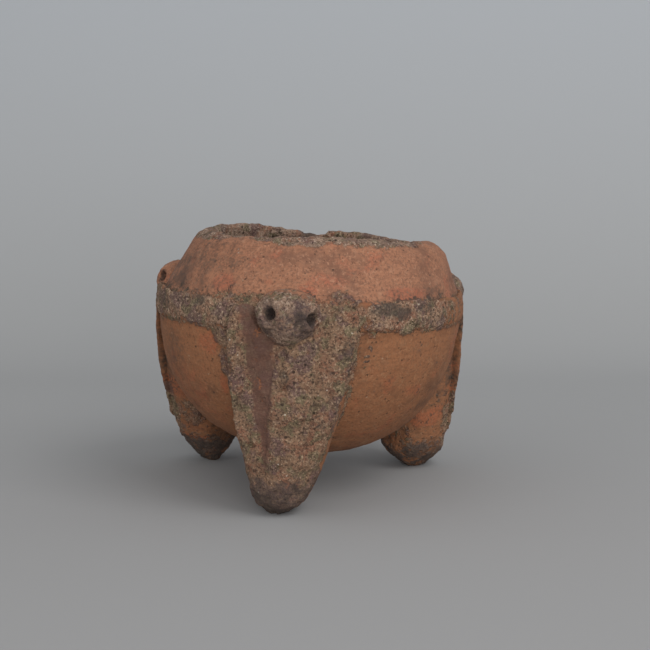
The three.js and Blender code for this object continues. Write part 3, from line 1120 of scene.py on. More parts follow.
@dataclass
class RibbedLeg:
    """Broad tapering leg with two side ribs and a middle spine."""

    side: Side
    turn: float
    toe_swing: float
    toe_reach: float
    toe_depth: float
    depth_share: float
    top_rise: float = 0.4
    half_width: float = 19.8
    half_depth: float = 9.6
    proud: float = 1.5
    belly: float = 1.6
    width_power: float = 0.4
    depth_power: float = 0.05
    ring_power: float = 1.6
    least_ring: float = 0.004
    cap_width: float = 0.93
    cap_depth: float = 0.84
    squareness: float = 2.5
    rings: int = 16
    points: int = 28
    bevel: float = 1.6
    ankle: float = 9.0
    sole_share: float = 0.3
    sole_tuck: float = 0.0
    sole_shift: float = 0.0
    toe_height: float = 7.0

    @property
    def top(self) -> float:
        """Height of the leg's upper end."""
        return SEAM + self.top_rise

    def name(self, part: str) -> str:
        """Name of the piece that is one part of this leg, such as rib_left."""
        kind, _, hand = part.partition("_")
        return "_".join(filter(None, ("clay", kind, self.side.value, hand)))

    def section(self, height: float) -> Section:
        """Section of the leg at a height.

        Args:
            height: Height in the jar's own frame.

        Returns:
            The section there.
        """
        share = max(0.0, height + self.toe_depth) / (self.top + self.toe_depth)
        out, across = directions(self.turn + self.toe_swing * (1.0 - share))
        half_depth = self.half_depth * self.depth_share * share**self.depth_power
        swell = self.belly * 4.0 * share * (1.0 - share)
        spread = share**self.width_power
        reach = self.toe_reach * (1.0 - spread) + self.proud * spread
        centre = out * (BOWL_RADIUS + reach + swell - half_depth)
        centre.z = height
        return Section(centre, out, across, self.half_width * spread, half_depth)

    def build_leg(self, wall: JarWall) -> Piece:
        """Raise the leg, trim its toe at the floor and press it onto the wall.

        Args:
            wall: The wall.

        Returns:
            The leg.
        """
        rings = []
        for number in range(self.rings + 1):
            share = max((number / self.rings) ** self.ring_power, self.least_ring)
            height = share * (self.top + self.toe_depth) - self.toe_depth
            rings.append(self.section(height).ring(self.squareness, self.points))
        last = self.section(self.top)
        cap = Section(
            last.centre - last.out * self.bevel + Vector((0.0, 0.0, self.bevel)),
            last.out, last.across,
            last.half_width * self.cap_width, last.half_depth * self.cap_depth,
        )
        rings.append(cap.ring(self.squareness, self.points))
        piece = raise_rings(self.name("leg"), rings)
        with opened(piece):
            bpy.ops.mesh.select_all(action="SELECT")
            bpy.ops.mesh.bisect(
                plane_co=(0, 0, 0), plane_no=(0, 0, 1), use_fill=True, clear_inner=True
            )
        knead(piece, LIMB_GRAIN)
        self.round_toe(piece)
        self.press_on(piece, wall)
        return piece

    def round_toe(self, piece: Piece) -> None:
        """Round the toe below the ankle, down to a small flat sole.

        Args:
            piece: The leg, set down and trimmed at the floor.
        """
        places = points_of(piece)
        middles = [STANCE.matrix @ self.section(height).centre for height in (0.0, self.ankle)]
        sole, ankle = (np.array(middle)[:2] for middle in middles)
        out, across = directions(self.turn + self.toe_swing)
        share = np.clip(places[:, 2] / self.ankle, 0.0, 1.0)[:, None]
        width = self.sole_share + (1.0 - self.sole_share) * (1.0 - (1.0 - share) ** 1.7)
        aside = np.array(across * self.sole_shift - out * self.sole_tuck)[:2]
        centre = sole + (ankle - sole) * share + aside * (1.0 - share)
        places[:, :2] = centre + (places[:, :2] - centre) * width
        move_points(piece, places)
        toe = piece.vertex_groups.new(name="toe")
        for index, height in enumerate(places[:, 2]):
            if height < self.toe_height:
                toe.add([index], float(1.0 - ease(height, 1.0, self.toe_height)), "REPLACE")
        finish_modifier(piece, "SMOOTH", factor=0.5, iterations=8, vertex_group="toe")
        places = points_of(piece)
        places[:, 2] -= places[:, 2].min() * (1.0 - ease(places[:, 2], 1.0, 6.0))
        move_points(piece, places)

    def press_on(self, piece: Piece, wall: JarWall) -> None:
        """Press the leg's back onto the bowl, no deeper than half its wall.

        Args:
            piece: The leg.
            wall: The wall that has the bowl.
        """
        own, _ = seen_upright(piece)
        radii = np.maximum(np.hypot(own[:, 0], own[:, 1]), 1.0)
        least = wall.outer_radius(own[:, 2]) - wall.wall / 2.0
        own[:, :2] *= np.maximum(least / radii, 1.0)[:, None]
        move_points(piece, moved(own, STANCE.matrix))

    def build_roll(self, part: str, roll: Roll) -> Piece:
        """Lay a roll of clay on the leg's outer face.

        Args:
            part: The part of the leg that it is.
            roll: The roll's place and sizes.

        Returns:
            The roll.
        """
        rings = []
        for number in range(roll.rings + 1):
            angle = math.pi * number / roll.rings
            share = (1.0 - math.cos(angle)) / 2.0
            height = roll.foot + (roll.top - roll.foot) * share
            face = self.section(min(height, self.top))
            rise = (1.0 - abs(roll.across_share) ** self.squareness) ** (1.0 / self.squareness)
            point = face.centre + face.across * (roll.across_share * face.half_width)
            point = point + face.out * (rise * face.half_depth)
            point.z = height
            swell = math.sqrt(max(math.sin(angle), 0.06))
            width, proud = (
                most * swell * (least + (1.0 - least) * share)
                for most, least in (
                    (roll.half_width, roll.foot_share), (roll.proud, roll.foot_proud_share),
                )
            )
            body = Section(point, face.out, face.across, width, proud)
            rings.append(body.ring(2.0, roll.points))
        return knead(raise_rings(self.name(part), rings), ROLL_GRAIN)

    def build_ribs(self) -> list[Piece]:
        """Lay a rib along each side edge of the leg.

        Returns:
            The left and the right rib.
        """
        return [
            self.build_roll(
                f"rib_{hand.word}", Roll(15.0, SEAM + 3.2, hand.value * 0.74, 6.4, 2.0, 0.4, 0.35)
            )
            for hand in Hand
        ]

    def build_spine(self) -> Piece:
        """Lay the middle spine, a little to the right of the leg's middle."""
        return self.build_roll("spine", Roll(5.0, SEAM - 6.2, 0.12, 7.8, 2.1, 0.6, 0.5))

    def neighbours(self, bands: Sequence[str]) -> dict[str, list[Joint]]:
        """Joints of each of the leg's pieces.

        Args:
            bands: Names of the bands that end at this leg.

        Returns:
            The joints by piece name.
        """
        leg, spine, head = self.name("leg"), self.name("spine"), self.name("head")
        ribs = [self.name(f"rib_{hand.word}") for hand in Hand]
        to_ribs = [Joint(rib, 2.6) for rib in ribs]
        to_head = Joint(head, 2.6, 5.0, 0.25)
        to_bands = [Joint(band, 1.8) for band in bands]
        of_rib = [Joint("wall", 1.6), Joint(leg, 2.4), Joint(spine, 1.6), to_head, *to_bands]
        return {
            leg: [Joint("wall", 2.4), *to_ribs, Joint(spine, 2.6), to_head, *to_bands],
            spine: [Joint(leg, 2.6), *to_ribs, to_head],
            head: [Joint("wall", 1.6, 6.0), Joint(leg, 2.2, 4.0), Joint(spine, 1.4)],
            ribs[0]: of_rib,
            ribs[1]: of_rib,
        }

    def coat(self, piece: Piece, gaps: dict[str, Values]) -> Coat:
        """Coat of the leg, a rib or the spine: bare clay, a ruddy groove, a dark toe, and painted
        shade on the leg's sides, under the toe and under the head.

        Args:
            piece: The piece.
            gaps: Distances of its points to its neighbours.

        Returns:
            The coat.
        """
        places, turns = seen_upright(piece)
        heights = places[:, 2]
        facing = normals_of(piece) @ np.array(directions(self.turn)[0])
        aside = off_turn(turns, math.degrees(self.turn))
        bank = -5.5 - 0.2 * heights
        groove = ease(aside, bank - 1.2, bank + 1.6) * (1.0 - ease(aside, -7.8, -5.0))
        groove = groove * ease(heights, 8.0, 18.0)
        toe = 1.0 - ease(heights, 5.0, 17.0)
        coat = Coat.plain(piece, 0.95)
        if piece.name == self.name("leg"):
            front = ease(facing, 0.15, 0.6)
            coat.paste = 0.2 + front * (0.75 - 0.1 * groove) + 0.4 * toe
            coat.ruddy = front * (0.1 + 0.85 * groove) * (1.0 - 0.6 * toe)
            # Painted shade on the leg's sides, which turn away from its front.
            coat.grime = 0.12 * (1.0 - front)
        else:
            coat.paste -= 0.1 * groove
            coat.ruddy += 0.85 * groove
        if self.side is not Side.FRONT:
            near = ease(abs(math.degrees(self.turn)) - np.abs(turns), 4.0, 10.0)
            near = near * ease(heights, 24.0, 34.0)
            coat.paste *= 1.0 - 0.75 * near
            coat.add(grime=0.5 * near)
        coat.paint = 0.9 * toe
        coat.add(
            paste=0.7 * cover_all(LEG_SCUFFS, turns, heights),
            ruddy=cover_all(LEG_REDS, turns, heights),
            grime=cover_all(LEG_STAINS, turns, heights),
        )
        # The toe darkens towards the foot, and its lowest 5 mm, where it turns under to the floor,
        # gets painted shade.
        coat.add(grime=np.maximum(0.48 * toe, 0.9 * (1.0 - ease(heights, 0.5, 5.5))))
        # Painted shade on the leg under the head's chin.
        chin = 1.0 - ease(np.abs(gaps[self.name("head")]), 0.2, 1.6)
        coat.add(grime=0.25 * chin * (1.0 - ease(heights, 58.0, 64.0)))
        return coat


@dataclass
class AnimalHead:
    """Animal head over a leg: a knob with a narrow chin, a snout and two punched eyes."""

    side: Side
    turn: float
    rise: float = 1.4
    proud: float = 4.0
    half_width: float = 9.4
    crown: float = 7.8
    chin: float = 9.8
    half_depth: float = 5.8
    chin_share: float = 0.5
    snout: float = 1.1
    snout_share: float = 0.528
    eye_spread: float = 6.8
    eye_shift: float = 2.2
    eye_slope: float = 0.7
    eye_rise: float = -1.0
    eye_radius: float = 2.2
    eye_tip: float = 0.9
    eye_depth: float = 3.4
    eye_rim: float = 0.6
    stick_spare: float = 4.0

    @property
    def name(self) -> str:
        """Name of the head's piece."""
        return f"clay_head_{self.side.value}"

    def build(self) -> Piece:
        """Shape the head as a knob and punch its two eyes.

        Returns:
            The head.
        """
        free_hands()
        bpy.ops.mesh.primitive_uv_sphere_add(segments=64, ring_count=40, radius=1.0)
        piece = bpy.context.object
        piece.name = self.name
        unit = points_of(piece)
        x, y, z = unit.T
        narrowing = 1.0 - self.chin_share * np.clip(-z, 0.0, None) ** 2
        ridge = 1.0 - ease(np.abs(x), 0.0, self.snout_share)
        places = np.stack([
            x * self.half_width * narrowing,
            y * self.half_depth - self.snout * np.clip(-y, 0.0, None) * ridge,
            z * np.where(z > 0.0, self.crown, self.chin),
        ], axis=1)
        for hand in Hand:
            away = np.linalg.norm(places - np.array(self.eye_place(hand)), axis=1)
            places += (unit * (self.eye_rim * spot(away, self.eye_radius * 1.35, 1.9))[:, None])
        move_points(piece, places)
        for hand in Hand:
            self.punch_eye(piece, hand)
        piece.data.transform(self.place())
        STANCE.settle(piece)
        return knead(piece, HEAD_GRAIN, 2)

    def eye_place(self, hand: Hand) -> Vector:
        """Middle of an eye's mouth on the face.

        Args:
            hand: Which eye.

        Returns:
            The place about the head's middle.
        """
        aside = hand.value * self.eye_spread + self.eye_shift
        depth = self.half_depth * math.sqrt(1.0 - (aside / self.half_width) ** 2)
        return Vector((aside, -depth, self.eye_rise - hand.value * self.eye_slope))

    def eye_turn(self, hand: Hand) -> float:
        """Direction in which an eye is punched, square to the face there."""
        place = self.eye_place(hand)
        return math.atan2(place.x / self.half_width**2, -place.y / self.half_depth**2)

    def place(self) -> Matrix:
        """Where the head sits.

        Returns:
            Matrix from its own middle to the jar's frame.
        """
        out, _ = directions(self.turn)
        reach = BOWL_RADIUS + self.proud
        lift = Matrix.Translation((out.x * reach, out.y * reach, SEAM + self.rise))
        return lift @ Matrix.Rotation(self.turn, 4, "Z")

    def punch_eye(self, head: Piece, hand: Hand) -> None:
        """Punch one eye with a pointed stick.

        Args:
            head: The head, which faces -Y at the origin.
            hand: Which eye.
        """
        free_hands()
        length = self.eye_depth + self.stick_spare
        slope = (self.eye_radius - self.eye_tip) / self.eye_depth
        bpy.ops.mesh.primitive_cone_add(
            vertices=24, radius1=self.eye_radius + slope * self.stick_spare,
            radius2=self.eye_tip, depth=length,
        )
        stick = bpy.context.object
        place = Matrix.Translation(self.eye_place(hand))
        place = place @ Matrix.Rotation(self.eye_turn(hand), 4, "Z")
        place = place @ Matrix.Translation((0.0, self.eye_depth - length / 2, 0.0))
        stick.data.transform(place @ Matrix.Rotation(math.radians(-90.0), 4, "X"))
        finish_modifier(head, "BOOLEAN", operation="DIFFERENCE", object=stick, solver="EXACT")
        bpy.data.objects.remove(stick)

    def pit_share(self, local: Points) -> Values:
        """How deep in an eye's pit places on the head lie.

        Args:
            local: Places about the head's middle.

        Returns:
            Share from nought on the face to one at a pit's bottom.
        """
        share = np.zeros(len(local))
        for hand in Hand:
            turn = self.eye_turn(hand)
            inward = np.array((-math.sin(turn), math.cos(turn), 0.0))
            away = local - np.array(self.eye_place(hand))
            deep = away @ inward
            aside = np.linalg.norm(away - deep[:, None] * inward, axis=1)
            inside = 1.0 - ease(aside, self.eye_radius, self.eye_radius + 0.5)
            share = np.maximum(share, inside * ease(deep, 0.3, self.eye_depth * 0.6))
        return share

    def coat(self, piece: Piece) -> Coat:
        """Coat of the head: worn dark paint, painted shade in the eye pits and on the left head's
        near side, and a rubbed crown.

        Args:
            piece: The head.

        Returns:
            The coat.
        """
        places, turns = seen_upright(piece)
        local = moved(places, self.place().inverted())
        crown = ease(local[:, 2], self.crown - 5.0, self.crown - 1.0)
        edge = ease(np.abs(local[:, 0]), 6.0, 9.5)
        near = ease(local[:, 0], -1.0, 3.5) * (self.side is Side.LEFT)
        rubs = cover_all(FACE_RUBS, turns, places[:, 2])
        stains = 0.6 * cover_all(FACE_STAINS, turns, places[:, 2])
        coat = Coat.plain(piece)
        coat.paste = (1.0 - 0.5 * crown) * (1.0 - 0.7 * near)
        coat.paint = (0.66 - 0.5 * crown - 0.25 * edge - 0.5 * rubs) * (1.0 - 0.7 * near)
        # Painted shade deep in the eye pits, real stains on the face, and painted shade on the
        # left head's near side.
        coat.grime = np.maximum.reduce([0.95 * self.pit_share(local), stains, 0.3 * near])
        return coat


# The bands


@dataclass
class SeamBand:
    """Strip of coarse clay over the seam, from one leg to the next."""

    side: str
    start: float
    end: float
    half_height: float = 4.4
    proud: float = 0.8
    step: float = math.radians(3.0)
    points: int = 18

    @property
    def name(self) -> str:
        """Name of the band's piece."""
        return f"clay_band_{self.side}"

    def build(self) -> Piece:
        """Lay the band round the jar, with an uneven edge.

        Returns:
            The band.
        """
        count = round((self.end - self.start) / self.step)
        rings = []
        for number in range(count + 1):
            turn = self.start + (self.end - self.start) * number / count
            out, _ = directions(turn)
            wave = 0.5 * math.sin(turn * 9.0) + 0.35 * math.sin(turn * 17.0 + 1.0)
            ring = []
            for corner in range(self.points):
                up, proud = squircle(2.0 * math.pi * corner / self.points, 2.0)
                point = out * (BOWL_RADIUS + proud * self.proud)
                point.z = SEAM + 0.3 * wave + up * (self.half_height + 0.5 * wave)
                ring.append(point)
            rings.append(ring)
        return knead(raise_rings(self.name, rings), LIMB_GRAIN)

    def coat(self, piece: Piece) -> Coat:
        """Coat of the band: coarse clay, rubbed and smoked in places.

        Args:
            piece: The band.

        Returns:
            The coat.
        """
        places, turns = seen_upright(piece)
        coat = Coat.plain(piece)
        edge = ease(np.abs(places[:, 2] - SEAM), 2.0, 5.0)
        coat.paste = (1.0 - 0.45 * edge) * (1.0 - pale_share(turns))
        coat.grime = cover_all(DARK_BAND, turns, places[:, 2])
        return coat


# Relief of the clay


class Relief(Enum):
    """Waves of the worked clay: their length, height, contrast and the share that bounds them."""

    LUMPS = (13.0, 0.8, 1.0, None)
    DENTS = (4.5, 0.35, 1.0, None)
    GRAIN = (1.6, 0.16, 2.0, None)
    KNOBS = (4.2, 1.15, 1.3, "paste")
    GRIT = (1.5, 0.4, 2.0, "paste")

    def press(self, piece: Piece, coat: Coat) -> None:
        """Press this relief into a piece.

        Args:
            piece: The piece to change.
            coat: The piece's coat.
        """
        length, height, contrast, share = self.value
        texture = bpy.data.textures.new(f"clay_{self.name.lower()}", "CLOUDS")
        texture.noise_scale = length
        texture.noise_depth = 2
        texture.contrast = contrast
        weight = f"{share}_weight" if share else ""
        if share and weight not in piece.vertex_groups:
            group = piece.vertex_groups.new(name=weight)
            levels = np.round(np.clip(getattr(coat, share), 0.0, 1.0) * 10.0) / 10.0
            for level in np.unique(levels):
                group.add(np.flatnonzero(levels == level).tolist(), float(level), "REPLACE")
        finish_modifier(
            piece, "DISPLACE", texture=texture, texture_coords="LOCAL", strength=height,
            mid_level=0.5, vertex_group=weight,
        )


# Materials


@dataclass(frozen=True)
class ClayFinish:
    """Colours of one finish; the coats say where each of them shows."""

    name: str
    slip: Tone
    slip_dark: Tone
    slip_pale: Tone
    slip_red: Tone
    paste: Tone = tone(134, 105, 83)
    paste_dark: Tone = tone(75, 57, 47)
    paste_pale: Tone = tone(166, 140, 115)
    paste_rust: Tone = tone(134, 93, 73)
    paste_olive: Tone = tone(108, 97, 73)
    paste_plum: Tone = tone(104, 80, 76)
    paint: Tone = tone(78, 63, 61)
    paint_worn: Tone = tone(134, 108, 91)
    ruddy: Tone = tone(98, 70, 60)
    # Dark specks of painted shade in small pits.
    pit: Tone = tone(50, 38, 31)
    grain: Tone = tone(186, 172, 156)
    # Colour of soot and soil, also used for painted shade.
    grime: Tone = tone(64, 57, 51)
    mottle: float = 0.5
    streaks: float = 0.5
    roughness: float = 0.82
    paste_roughness: float = 0.14
    sheen: float = 0.3
    bump: float = 0.9


BOWL_FINISH = ClayFinish(
    "bowl_clay", tone(143, 95, 64), tone(102, 69, 49), tone(152, 111, 80), tone(158, 86, 57),
    streaks=0.35,
)
SHOULDER_FINISH = ClayFinish(
    "slipped_clay", tone(154, 106, 80), tone(114, 79, 62), tone(172, 127, 100), tone(164, 92, 68),
    mottle=0.85,
)
COARSE_FINISH = ClayFinish(
    "coarse_clay", tone(142, 95, 65), tone(98, 68, 49), tone(150, 111, 83), tone(160, 90, 60)
)
BAND_FINISH = replace(
    COARSE_FINISH, name="band_clay", paste=tone(146, 117, 95), paste_pale=tone(178, 153, 129)
)
# The heads' dark colour here is near black, mostly for the painted shade in the eye pits.
PAINTED_FINISH = replace(
    SHOULDER_FINISH, name="painted_clay", paste=tone(145, 119, 101),
    paste_pale=tone(178, 156, 137), grime=tone(38, 36, 36),
)


class Network:
    """Node network of one material, under construction."""

    def __init__(self, name: str) -> None:
        """Start an empty network with its object coordinates.

        Args:
            name: The material's name.
        """
        self.material = bpy.data.materials.new(name)
        self.material.use_nodes = True
        self.tree = self.material.node_tree
        self.tree.nodes.clear()
        self.place = self.add("TexCoord").outputs["Object"]

    def add(
        self, kind: str, inputs: dict[str | int, object] | None = None, **settings: object
    ) -> bpy.types.Node:
        """Add a node.

        Args:
            kind: The node's type.
            inputs: Value or source of each input that is not left as it is.
            **settings: Values for the node's properties.

        Returns:
            The node.
        """
        node = self.tree.nodes.new(f"ShaderNode{kind}")
        for name, value in settings.items():
            setattr(node, name, value)
        for key, value in (inputs or {}).items():
            if isinstance(value, Socket):
                self.tree.links.new(value, node.inputs[key])
            else:
                node.inputs[key].default_value = value
        return node

    def lay(self, cover: Socket, under: Socket | Tone, over: Socket | Tone) -> Socket:
        """Lay one colour over another where it covers."""
        return self.add("Mix", {"Factor": cover, 6: under, 7: over}, data_type="RGBA").outputs[2]

    def close(self, colour: Socket, inputs: dict[str, object]) -> bpy.types.Material:
        """Close the network with a shader.

        Args:
            colour: The surface's colour.
            inputs: The shader's other inputs.

        Returns:
            The material.
        """
        shader = self.add("BsdfPrincipled", {"Base Color": colour, **inputs})
        self.add("OutputMaterial", {"Surface": shader.outputs[0]})
        return self.material


class ClayNetwork(Network):
    """Node network of one clay finish, with sizes in millimetres."""

    def __init__(self, finish: ClayFinish) -> None:
        """Start the network with its coordinates in millimetres.

        Args:
            finish: The finish.
        """
        super().__init__(finish.name)
        self.finish = finish
        grow = {0: self.place, "Scale": 1.0 / MILLIMETRE}
        self.place = self.add("VectorMath", grow, operation="SCALE").outputs[0]

    def noise(
        self, size: float, detail: float = 3.0, roughness: float = 0.6, flat: float = 1.0
    ) -> Socket:
        """Cloudy noise.

        Args:
            size: Size of its waves.
            detail: Number of finer waves on top.
            roughness: Strength of the finer waves.
            flat: How many times lower than wide the waves are.

        Returns:
            The noise, mostly near one half.
        """
        place = self.place
        if flat != 1.0:
            squash = {0: self.place, 1: (1.0, 1.0, flat)}
            place = self.add("VectorMath", squash, operation="MULTIPLY").outputs[0]
        settings = {"Scale": 1.0 / size, "Detail": detail, "Roughness": roughness, "Vector": place}
        return self.add("TexNoise", settings).outputs["Fac"]

    def sum(self, operation: str, first: Socket | float, second: Socket | float) -> Socket:
        """Sum of two values by an operation."""
        return self.add("Math", {0: first, 1: second}, operation=operation).outputs[0]

    def times(self, first: Socket, second: Socket | float) -> Socket:
        """Product of two values."""
        return self.sum("MULTIPLY", first, second)

    def step(self, value: Socket, low: float, high: float, top: float = 1.0) -> Socket:
        """Smooth step of a value from nought at low to top at high."""
        bounds = {"From Min": low, "From Max": high, "To Max": top, "Value": value}
        return self.add("MapRange", bounds, interpolation_type="SMOOTHSTEP").outputs["Result"]

    def speck(self, size: float, rarity: float, radius: float, strength: float) -> Socket:
        """Cover of scattered round specks.

        Args:
            size: Mean distance between places where a speck may lie.
            rarity: Share of those places left empty.
            radius: Speck's radius as a share of that distance.
            strength: Cover at a speck's middle.

        Returns:
            The specks' cover.
        """
        grains = self.add("TexVoronoi", {"Scale": 1.0 / size, "Vector": self.place})
        number = self.add("SeparateColor", {"Color": grains.outputs["Color"]}).outputs["Red"]
        inside = self.step(grains.outputs["Distance"], radius, radius * 0.45)
        return self.times(self.times(inside, self.step(number, rarity, rarity + 0.02)), strength)

    def ragged(self, name: str, blur: float = 0.12) -> Socket:
        """Share from an attribute, broken up at its edges by noise.

        Args:
            name: The attribute.
            blur: Half the width of the soft edge.

        Returns:
            The ragged share.
        """
        share = self.add("Attribute", attribute_name=name).outputs["Fac"]
        wide = self.times(self.sum("SUBTRACT", self.noise(5.0, 4.0), 0.5), 1.7)
        fine = self.times(self.sum("SUBTRACT", self.noise(1.1), 0.5), 1.2)
        total = self.sum("ADD", share, self.sum("ADD", wide, fine))
        return self.step(total, 0.5 - blur, 0.5 + blur)

    def clouds(
        self, under: Socket | Tone,
        layers: Iterable[tuple[Tone, tuple[float, ...], tuple[float, ...]]],
    ) -> Socket:
        """Lay clouds of colours over another one.

        Args:
            under: The colour below.
            layers: For each, its colour, its noise and the step that it starts to show in.

        Returns:
            The clouded colour.
        """
        for over, noise, bounds in layers:
            under = self.lay(self.step(self.noise(*noise), *bounds), under, over)
        return under

    def specks(self, under: Socket, layers: Iterable[tuple[Tone, tuple[float, ...]]]) -> Socket:
        """Scatter specks of colours over another one.

        Args:
            under: The colour below.
            layers: For each, its colour and its specks.

        Returns:
            The specked colour.
        """
        for over, specks in layers:
            under = self.lay(self.speck(*specks), under, over)
        return under

    def slip_colour(self) -> Socket:
        """Mix the slip or burnish, with its clouds, rubs and fine pits.

        Returns:
            Its colour.
        """
        skin = self.finish
        colour = self.clouds(skin.slip_dark, (
            (skin.slip, (15.0, 4.0), (0.27, 0.5)),
            (skin.slip_pale, (6.0, 5.0, 0.7), (0.52, 0.74, 0.75)),
            (skin.slip_red, (9.0, 3.0), (0.56, 0.72, 0.45)),
        ))
        colour = self.lay(self.times(self.ragged("ruddy", 0.3), 0.6), colour, skin.slip_red)
        colour = self.clouds(colour, (
            (skin.slip_dark, (5.0, 5.0, 0.75, 7.0), (0.44, 0.68, skin.streaks)),
            (skin.slip_dark, (0.75, 3.0, 0.75), (0.46, 0.62, skin.mottle)),
            (skin.slip_pale, (1.1, 4.0, 0.75), (0.53, 0.66, 0.7)),
        ))
        return self.specks(colour, (
            # Dark specks paint the shade in small pits.
            (skin.pit, (2.6, 0.62, 0.19, 0.7)),
            (skin.pit, (1.3, 0.78, 0.26, 0.5)),
            (skin.paste_pale, (2.3, 0.86, 0.17, 0.6)),
        ))

    def paste_colour(self) -> Socket:
        """Mix the coarse sandy clay, with its grains and pits.

        Returns:
            Its colour.
        """
        skin = self.finish
        colour = self.clouds(skin.paste, (
            (skin.paste_rust, (7.0, 4.0), (0.42, 0.64)),
            (skin.paste_olive, (4.6, 4.0), (0.5, 0.6, 0.9)),
            (skin.paste_plum, (5.7, 4.0), (0.51, 0.62, 0.85)),
            (skin.paste_dark, (3.7, 3.0), (0.54, 0.68, 0.5)),
            (skin.paste_pale, (0.85, 4.0, 0.8), (0.51, 0.62, 0.85)),
            (skin.paste_dark, (0.7, 4.0, 0.8), (0.49, 0.59, 0.9)),
        ))
        return self.specks(colour, (
            # Dark specks paint the shade in small pits.
            (skin.pit, (1.3, 0.84, 0.3, 0.85)),
            (skin.pit, (2.9, 0.5, 0.22, 0.85)),
            (skin.grain, (2.4, 0.86, 0.15, 0.9)),
        ))

    def paint_colour(self) -> Socket:
        """Mix the worn dark paint.

        Returns:
            Its colour.
        """
        skin = self.finish
        colour = self.clouds(skin.paint, ((skin.paint_worn, (1.1, 4.0, 0.8), (0.47, 0.6)),))
        return self.specks(colour, (
            # Dark specks paint the shade in small pits.
            (skin.pit, (1.2, 0.74, 0.28, 0.7)), (skin.grain, (1.8, 0.84, 0.2, 0.8)),
        ))

    def build(self) -> bpy.types.Material:
        """Join the layers, give them relief and close the network.

        Returns:
            The material.
        """
        skin = self.finish
        paste = self.ragged("paste")
        ruddy = self.times(self.ragged("ruddy", 0.25), 0.8)
        coarse = self.lay(ruddy, self.paste_colour(), skin.ruddy)
        paint = self.times(self.ragged("paint", 0.2), 0.85)
        coarse = self.lay(paint, coarse, self.paint_colour())
        colour = self.lay(paste, self.slip_colour(), coarse)
        # Soot, soil and painted shade darken the colour where the coat asks for them.
        colour = self.lay(self.times(self.ragged("grime", 0.35), 0.72), colour, skin.grime)
        return self.close(colour, {
            "Specular IOR Level": skin.sheen,
            "Roughness": self.sum("ADD", self.times(paste, skin.paste_roughness), skin.roughness),
            "Normal": self.relief(paste),
        })

    def relief(self, paste: Socket) -> Socket:
        """Fine relief: a faint grain on the slip, sand and pits on the bare clay.

        Args:
            paste: Cover of the bare clay.

        Returns:
            The bent normal.
        """
        smooth = self.times(self.noise(1.4, 4.0, 0.65), 0.36)
        fine = self.sum("ADD", smooth, self.speck(2.1, 0.5, 0.24, -0.3))
        sand = self.times(self.noise(0.9, 4.0, 0.7), 0.7)
        rough = self.times(self.sum("ADD", sand, self.speck(3.1, 0.66, 0.3, -0.5)), paste)
        height = self.sum("ADD", fine, rough)
        bump = {"Strength": self.finish.bump, "Distance": MILLIMETRE, "Height": height}
        return self.add("Bump", bump).outputs["Normal"]


# The studio


